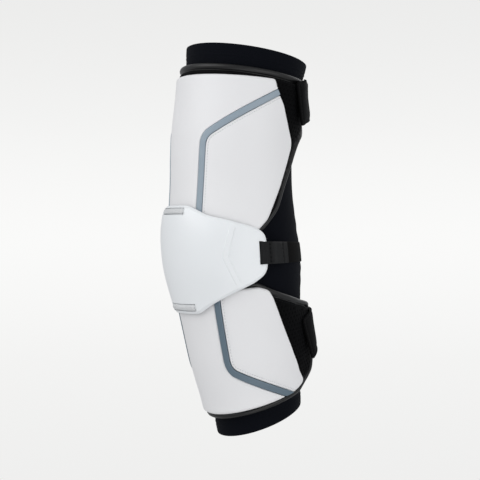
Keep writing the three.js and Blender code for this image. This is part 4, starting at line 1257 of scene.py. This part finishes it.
class ARMPAD_OT_cap(Operator):
    """Builds the moulded elbow cap with its creases, bead and slots"""

    bl_idname = "arm_pad.cap"
    bl_label = "Elbow cap"

    def execute(self, context):
        heights = CAP_LOOP[:, 1] * np.where(CAP_LOOP[:, 1] < 0, CAP_DROP, CAP_RISE)
        loop = np.stack([CAP_LOOP[:, 0] * CAP_HALF_ANGLE * MM_PER_DEGREE, heights], 1)
        low = lambda flat, gap: cap_inner_at(flat[:, 0] / MM_PER_DEGREE, flat[:, 1])
        high = lambda flat, gap: low(flat, gap) + CAP_WALL + self.relief(flat, gap)
        rings = (0.25, 0.55, 0.9, 1.3, 1.8, 2.4, 3.2, 4.4)
        half = sizes().ridge_width / MM / 2
        ridge = resampled(CAP_RIDGE, 0.7)
        steps = (-0.5, -0.25, 0, 0.25, 0.5)
        lines = [beside(ridge, hand * half + k) for hand in (-1, 1) for k in steps]
        more = np.vstack(lines + [line * (-1, 1) for line in lines])
        loop, finish = anticlockwise(loop), finish_named("cap")
        piece = padded_sheet("elbow_cap_moulding", loop, low, high, 2.2, rings, more, finish)
        self.cut_slots(piece)
        settle(piece, "elbow_cap")
        return {"FINISHED"}

    @staticmethod
    def relief(flat, gap):
        """Depth over the plain face: a ridge before each lowered wing, a bead inside the rim."""
        size = sizes()
        ridge, wing, half = size.ridge / MM, size.wing_drop / MM, size.ridge_width / MM / 2
        folded = np.abs(flat[:, 0])
        side = np.sign(folded - np.interp(flat[:, 1], CAP_RIDGE[:, 1], CAP_RIDGE[:, 0]))
        past = side * distance_to(np.stack([folded, flat[:, 1]], 1), CAP_RIDGE)
        rise = ridge * smooth(past, -half - 0.3, -half + 0.3)
        fall = (ridge + wing) * smooth(past, half - 0.3, half + 0.3)
        bevel = (CAP_WALL - CAP_EDGE_WALL) * (1 - smooth(gap, 0.0, CAP_BEVEL))
        bead = drawn_in(gap - 1.6, size.bead / MM, 0.8)
        return rise - fall + wing * smooth(past, 10, 30) - bevel + bead

    @staticmethod
    def cut_slots(piece):
        """Cuts the slots of the loops and the tabs through the cap."""
        margin = SLOT_SIDE_ROOM / MM_PER_DEGREE
        half, outer = SLOT_WIDTH / 2, WEBBING / 2 + SLOT_FACE_ROOM
        wing = half / MM_PER_DEGREE
        reach = TAB_HALF_WIDTH + WING_SLOT_ROOM
        upper, lower = UPPER_LOOP_HALF_WIDTH + margin, LOWER_LOOP_HALF_WIDTH + margin
        for low_angle, high_angle, low, high in (
            (-upper, upper, UPPER_SLOT - BAR_SLOT_ROOM, UPPER_SLOT + half),
            (-upper, upper, UPPER_OUTER_SLOT - outer, UPPER_OUTER_SLOT + outer),
            (-lower, lower, LOWER_SLOT - half, LOWER_SLOT + BAR_SLOT_ROOM),
            (-lower, lower, LOWER_OUTER_SLOT - outer, LOWER_OUTER_SLOT + outer),
            (WING_SLOT - wing, WING_SLOT + wing, -reach, reach),
            (-WING_SLOT - wing, -WING_SLOT + wing, -reach, reach),
        ):
            corners = [
                place(a, h, d)
                for a in (low_angle, high_angle)
                for h in (low, high)
                for d in (SLEEVE_GAP + PANEL_DEPTH, SLEEVE_GAP + 4 * BASE_DEPTH)
            ]
            faces = [(0, 1, 3, 2), (4, 6, 7, 5), (0, 4, 5, 1)]
            faces += [(2, 3, 7, 6), (0, 2, 6, 4), (1, 5, 7, 3)]
            cutter = new_object("slot_cutter", np.array(corners), faces, smooth_shaded=False)
            cut = piece.modifiers.new("slot", "BOOLEAN")
            cut.operation = "DIFFERENCE"
            cut.object = cutter
            cut.solver = "EXACT"
            apply_modifiers(piece)
            bpy.data.objects.remove(cutter)


def apply_modifiers(piece):
    """Puts what the piece's modifiers make into its own mesh."""
    graph = bpy.context.evaluated_depsgraph_get()
    made = bpy.data.meshes.new_from_object(piece.evaluated_get(graph))
    piece.modifiers.clear()
    piece.data = made


class ARMPAD_OT_loops(Operator):
    """Builds the webbing loops that hold the cap above and below"""

    bl_idname = "arm_pad.loops"
    bl_label = "Cap loops"

    def execute(self, context):
        for name, outer, slot, half in (
            ("cap_loop_upper", UPPER_OUTER_SLOT, UPPER_SLOT, UPPER_LOOP_HALF_WIDTH),
            ("cap_loop_lower", LOWER_OUTER_SLOT, LOWER_SLOT, LOWER_LOOP_HALF_WIDTH),
        ):
            out = math.copysign(1, outer)
            mid, gap = WEBBING / 2, WEBBING_GAP
            over = lambda h: float(cap_inner_at(0, h)) + CAP_WALL + mid
            sewn = lambda h: float(panel_face(h)) + gap + mid
            path = [
                (slot - out * LOOP_TAIL, sewn(slot - out * LOOP_TAIL)),
                (slot, sewn(slot)),
                (outer - out * 1.6, sewn(outer) + 0.1),
                (outer - out * 0.2, sewn(outer) + 1.4),
                (outer, over(outer) - 1.6),
                (outer - out * 0.5, over(outer) - 0.2),
                (outer - out * 1.6, over(outer - out * 1.6) + 0.1),
                (slot + out * 2.4, over(slot + out * 2.4) + 0.05),
                (slot + out * 1.2, over(slot) - 0.3),
                (slot + out * 0.5, over(slot) - 1.8),
                (slot + out * 0.3, sewn(slot) + 2.0),
            ]
            path = softened(resampled(path, 0.5), 3, False)
            ribs = lambda d: wave(d, 0.03, 1.1)

            def put(h, d, s):
                angle = s / MM_PER_DEGREE
                sag = float(cap_inner_at(0, h)) - float(cap_inner_at(angle, h))
                return place(angle, h, d - sag * float(smooth(d, sewn(h), over(h) - 1)))

            half_width, finish = half * MM_PER_DEGREE, finish_named("loop")
            piece = ribbon(name + "_webbing", path, WEBBING, half_width, put, finish, ribs)
            settle(piece, name)
        return {"FINISHED"}


def pulled_depth(angle):
    """Depth of a strap pulled straight from the cap's wing to the sleeve."""
    over = float(cap_inner_at(CAP_HALF_ANGLE, 0))
    radius = ELBOW_RADIUS * (WIDTH_SHARE + DEPTH_SHARE) * 0.5
    reach = math.acos(radius / (radius + over))
    left = np.maximum(0, reach - np.radians(np.asarray(angle, float) - CAP_HALF_ANGLE))
    return SLEEVE_GAP + radius / np.cos(left) - radius


class ARMPAD_OT_elbow_strap(Operator):
    """Builds the elastic inside the elbow and the webbing that joins it to the cap"""

    bl_idname = "arm_pad.elbow_strap"
    bl_label = "Elbow strap"

    def execute(self, context):
        start = ELBOW_TAB_END - 6
        angles = np.linspace(start, 360 - start, 120)
        level = pulled_depth(np.minimum(angles, 360 - angles)) - SLEEVE_GAP + ELASTIC_LEVEL
        path = np.column_stack([angles * MM_PER_DEGREE, level])
        put = lambda a, d, s: place(a / MM_PER_DEGREE, s, d)
        elastic = ribbon(
            "elbow_elastic", path, ELASTIC_DEPTH * ELASTIC_SHARE,
            ELBOW_STRAP_HALF_WIDTH - ELASTIC_INSET, put, finish_named("elastic"),
            lambda d: wave(d, 0.05, 1.6),
        )
        settle(elastic, "elbow_strap")
        self.tabs()
        return {"FINISHED"}

    @staticmethod
    def tabs():
        """The webbing that runs from each wing's slot and back over itself."""
        mid, gap = WEBBING / 2, WEBBING_GAP
        rim = CAP_HALF_ANGLE
        unit = MM_PER_DEGREE
        inside_at = lambda a: float(cap_inner_at(a, 0)) - gap - mid
        outside_at = lambda a: float(cap_inner_at(a, 0)) + CAP_WALL + gap + mid - 0.8
        over = lambda a: float(pulled_depth(a)) + ELASTIC_DEPTH + gap + mid
        end = ELBOW_TAB_END
        path = [
            (WING_SLOT - 1.0, inside_at(WING_SLOT) + 0.4),
            (rim - 2, inside_at(rim - 2)),
            (rim + 2, over(rim + 6) + 0.2),
            *[(a, over(a)) for a in np.linspace(rim + 6, end, 12)],
        ]
        path = np.array(path) * (unit, 1)
        under = softened(resampled(path, 0.5), 4, False)
        front = [
            (WING_SLOT - 0.2, inside_at(WING_SLOT) + 0.6),
            (WING_SLOT - 0.5, outside_at(WING_SLOT) - 0.9),
            (WING_SLOT + 0.6, outside_at(WING_SLOT) + 0.3),
            (rim - 2.5, outside_at(rim - 2) + 0.4),
            (rim + 0.5, outside_at(rim) + 0.1),
            (rim + 5, over(rim + 6) + WEBBING + 1.0),
            *[(a, over(a) + WEBBING + 0.05) for a in np.linspace(rim + 9, end, 12)],
        ]
        front = softened(resampled(np.array(front) * (unit, 1), 0.5), 4, False)
        walked = travelled(front)

        def ribs(d):
            """Broad ribs up to the cap's rim and fine ones past it, drawn in at the seams."""
            a = np.interp(d, walked, front[:, 0] / unit)
            face = np.where(a < TAB_RIBS_END, wave(a, 0.2, 2.2), wave(a, 0.05, 1.4))
            return face - sum(drawn_in(a - at, deep, wide) for at, deep, wide in TAB_SEAMS)

        put = lambda a, d, s: place(a / unit, s, d)
        cloth = finish_named("webbing")
        outer = ribbon("elbow_tab_outer_right", front, WEBBING, TAB_HALF_WIDTH, put, cloth, ribs)
        inner = ribbon("elbow_tab_inner_right", under, WEBBING, TAB_HALF_WIDTH - 0.3, put, cloth)
        thread = finish_named("black_thread")
        face = lambda q: np.array([over(q[0, 0] / unit) + WEBBING + mid - 0.5])
        rows = []
        reach = TAB_HALF_WIDTH - 0.5
        for k, (at, _, _) in enumerate(TAB_SEAMS):
            line = np.array([(at * unit, h) for h in np.linspace(-reach, reach, 20)])
            name = f"elbow_tab_stitches_{k}_right"
            rows.append(thread_row(name, line, face, *TAB_STITCHES, thread))
        for piece, flat in ((outer, 0.044), (inner, 0.037)):
            for made, hand in on_both_sides(piece):
                settle(made, f"elbow_strap_tab_{hand}")
        for piece in rows:
            for made, _ in on_both_sides(piece):
                settle(made)


class ARMPAD_OT_arm_straps(Operator):
    """Builds the padded straps round the back of the arm"""

    bl_idname = "arm_pad.arm_straps"
    bl_label = "Arm straps"

    def execute(self, context):
        size = sizes()
        for name, row in (("upper", UPPER_STRAP), ("lower", LOWER_STRAP)):
            bottom, top, low_angle, high_angle, _ = row
            half = lambda a: (180 - a) * MM_PER_DEGREE
            corners = [(half(low_angle), bottom), (half(high_angle), top)]
            corners += [(-x, height) for x, height in corners[::-1]]
            loop = resampled(corners, 1.8, True)
            loop = anticlockwise(softened(self.lifted(loop, row, 1), 2))

            def rise(flat):
                level = self.lifted(flat, row, -1)[:, 1]
                up = np.clip((level - bottom) / (top - bottom), 0, 1)
                swell = side_swell(180 - np.abs(flat[:, 0]) / MM_PER_DEGREE, flat[:, 1])
                swell = swell - 1.5 * smooth(flat[:, 1], UPPER_BASE[1], UPPER_BASE[1] + 4)
                return panel_seat(flat[:, 1]) + swell + STRAP_FLARE * (1 - up)

            def high(flat, gap):
                level = rise(flat) + STRAP_DEPTH - edge_drop(gap, STRAP_EDGE)
                swell = 0.3 * smooth(gap, STRAP_BORDER, STRAP_BORDER + 5)
                return level + swell - drawn_in(gap - STRAP_BORDER, 0.5, 0.7)

            low = lambda flat, gap: rise(flat) + edge_drop(gap, STRAP_EDGE)
            rings = (0.2, 0.6, 1.2, 1.9, STRAP_BORDER, 3.3, 4.1, 5.6, 7.6)
            cloth = finish_named("strap")
            name_of = f"{name}_strap_cloth"
            piece = padded_sheet(name_of, loop, low, high, 3.0, rings, (), cloth, 180.0)
            settle(piece, f"{name}_strap")
            seam = inset(loop, STRAP_BORDER)
            stitches = thread_row(
                f"{name}_strap_stitches", np.vstack([seam, seam[:1]]),
                lambda q: rise(q) + STRAP_DEPTH - 0.45,
                *STRAP_STITCHES, size.thread / MM, finish_named("black_thread"), 180.0,
            )
            settle(stitches)
        return {"FINISHED"}

    @staticmethod
    def lifted(flat, row, sign):
        """Points of a strap raised towards the back of the arm, or put back down."""
        bottom, top, low_angle, high_angle, lift = row
        up = np.clip((flat[:, 1] - bottom) / (top - bottom), 0, 1)
        front = low_angle + up * (high_angle - low_angle)
        around = 180 - np.abs(flat[:, 0]) / MM_PER_DEGREE
        share = np.clip((around - front) / (BASE_HALF_ANGLE - front), 0, 1)
        raised = sign * lift * np.sin(share * math.pi / 2)
        return np.stack([flat[:, 0], flat[:, 1] + raised], 1)


def point_at(made, aim, away):
    """Puts a lamp or camera away from a point and turns it towards the point."""
    made.location = aim + away
    made.rotation_euler = (aim - made.location).to_track_quat("-Z", "Y").to_euler()


class ARMPAD_OT_stage(Operator):
    """Builds the pale studio, its lights and the camera"""

    bl_idname = "arm_pad.stage"
    bl_label = "Studio"

    def execute(self, context):
        self.backdrop()
        self.lights()
        self.camera()
        scene = context.scene
        scene.view_settings.view_transform = "Standard"
        scene.view_settings.look = "None"
        return {"FINISHED"}

    @staticmethod
    def backdrop():
        """A pale floor that sweeps up into a wall all round, glowing with painted light: brightest at
        middle height, darker towards the floor and the top.
        """
        floor, reach, bend, top = -0.9, 4.6, 1.6, 5.0
        profile = [(0.01, floor), (1.0, floor), (2.0, floor), (reach - bend, floor)]
        for k in range(1, 13):
            t = k / 12 * math.pi / 2
            profile.append((reach - bend + bend * math.sin(t), floor + bend - bend * math.cos(t)))
        profile.append((reach, top))
        count = 96
        points = [
            (r * math.cos(a), r * math.sin(a), z)
            for r, z in profile
            for a in np.arange(count) * 2 * math.pi / count
        ]
        faces = ring_faces(len(profile), count)
        faces.append(tuple(range(count))[::-1])
        mesh = bpy.data.meshes.new("studio_sweep")
        mesh.from_pydata(points, [], faces)
        mesh.polygons.foreach_set("use_smooth", [True] * len(mesh.polygons))
        sweep = linked("studio_sweep", mesh)
        sweep.visible_diffuse = sweep.visible_glossy = sweep.visible_shadow = False
        made = bpy.data.materials.new("Studio Paper")
        made.use_nodes = True
        tree = made.node_tree
        tree.nodes.remove(tree.nodes["Principled BSDF"])
        parts = node(tree, "SeparateXYZ", {0: node(tree, "TexCoord").outputs["Object"]})
        inputs = {"Value": parts.outputs["Z"], "From Min": -1.02, "From Max": 1.02}
        span = node(tree, "MapRange", inputs)
        ramp = node(tree, "ValToRGB", {"Fac": span.outputs["Result"]})
        ramp.color_ramp.interpolation = "B_SPLINE"
        # Painted light on the sweep: brightest just above middle height, darker towards the floor and
        # the top.
        stops = (
            (0.0, 0.838), (0.28, 0.90), (0.45, 0.955), (0.56, 0.957), (0.75, 0.90), (1.0, 0.832),
        )
        for position, value in stops[1:-1]:
            ramp.color_ramp.elements.new(position)
        for element, (position, value) in zip(ramp.color_ramp.elements, stops):
            element.position = position
            element.color = (value, value, value * 0.992, 1)
        glow = node(tree, "Emission", {"Color": ramp.outputs["Color"]})
        tree.links.new(glow.outputs[0], tree.nodes["Material Output"].inputs["Surface"])
        mesh.materials.append(made)

    @staticmethod
    def lights():
        world = bpy.data.worlds.new("Studio Air")
        bpy.context.scene.world = world
        world.use_nodes = True
        air = world.node_tree.nodes["Background"]
        air.inputs["Color"].default_value = (0.975, 0.985, 1.0, 1)
        air.inputs["Strength"].default_value = 0.55
        aim = Vector((0, 0, 0.01))
        for name, azimuth, elevation, distance, side, power in (
            ("key_softbox", -4, 34, 1.6, 1.3, 13.5),
            ("fill_softbox", 100, 8, 1.7, 1.3, 8.6),
            ("low_softbox", 70, -38, 1.7, 1.3, 5.8),
            ("back_softbox", 200, 30, 1.7, 1.0, 3.5),
        ):
            a, e = math.radians(azimuth), math.radians(elevation)
            lamp = bpy.data.lights.new(name, "AREA")
            lamp.shape, lamp.size, lamp.size_y = "RECTANGLE", side, side * 1.3
            lamp.energy = power
            towards = Vector((math.sin(a) * math.cos(e), -math.cos(a) * math.cos(e), math.sin(e)))
            point_at(linked(name, lamp), aim, towards * distance)

    @staticmethod
    def camera():
        azimuth = math.radians(CAMERA_AZIMUTH)
        right = Vector((math.cos(azimuth), math.sin(azimuth), 0))
        aim = Vector((0, 0, CAMERA_HEIGHT)) + right * CAMERA_SHIFT
        lens = bpy.data.cameras.new("portrait_camera")
        lens.lens, lens.sensor_width = CAMERA_LENS, CAMERA_SENSOR
        lens.clip_start = 0.05
        made = linked("portrait_camera", lens)
        away = Vector((math.sin(azimuth), -math.cos(azimuth), 0))
        point_at(made, aim, away * CAMERA_DISTANCE)
        bpy.context.scene.camera = made


STEPS = (
    ARMPAD_OT_materials,
    ARMPAD_OT_sleeve,
    ARMPAD_OT_bases,
    ARMPAD_OT_panels,
    ARMPAD_OT_stripes,
    ARMPAD_OT_cap,
    ARMPAD_OT_loops,
    ARMPAD_OT_elbow_strap,
    ARMPAD_OT_arm_straps,
    ARMPAD_OT_stage,
)


class ARMPAD_PT_sidebar(Panel):
    bl_label = "Arm Pad"
    bl_idname = "ARMPAD_PT_sidebar"
    bl_space_type = "VIEW_3D"
    bl_region_type = "UI"
    bl_category = "Arm Pad"

    def draw(self, context):
        for group_of in (context.scene.arm_pad_sizes, context.scene.arm_pad_colours):
            box = self.layout.box()
            for name in group_of.__annotations__:
                box.prop(group_of, name)
        for step in STEPS:
            self.layout.operator(step.bl_idname)


CLASSES = (ArmPadColours, ArmPadSizes, *STEPS, ARMPAD_PT_sidebar)


def register():
    for each in CLASSES:
        bpy.utils.register_class(each)
    bpy.types.Scene.arm_pad_sizes = PointerProperty(type=ArmPadSizes)
    bpy.types.Scene.arm_pad_colours = PointerProperty(type=ArmPadColours)


def unregister():
    del bpy.types.Scene.arm_pad_colours
    del bpy.types.Scene.arm_pad_sizes
    for each in reversed(CLASSES):
        bpy.utils.unregister_class(each)


def main():
    register()
    for step in STEPS:
        area, name = step.bl_idname.split(".")
        getattr(getattr(bpy.ops, area), name)()


if __name__ == "__main__":
    main()
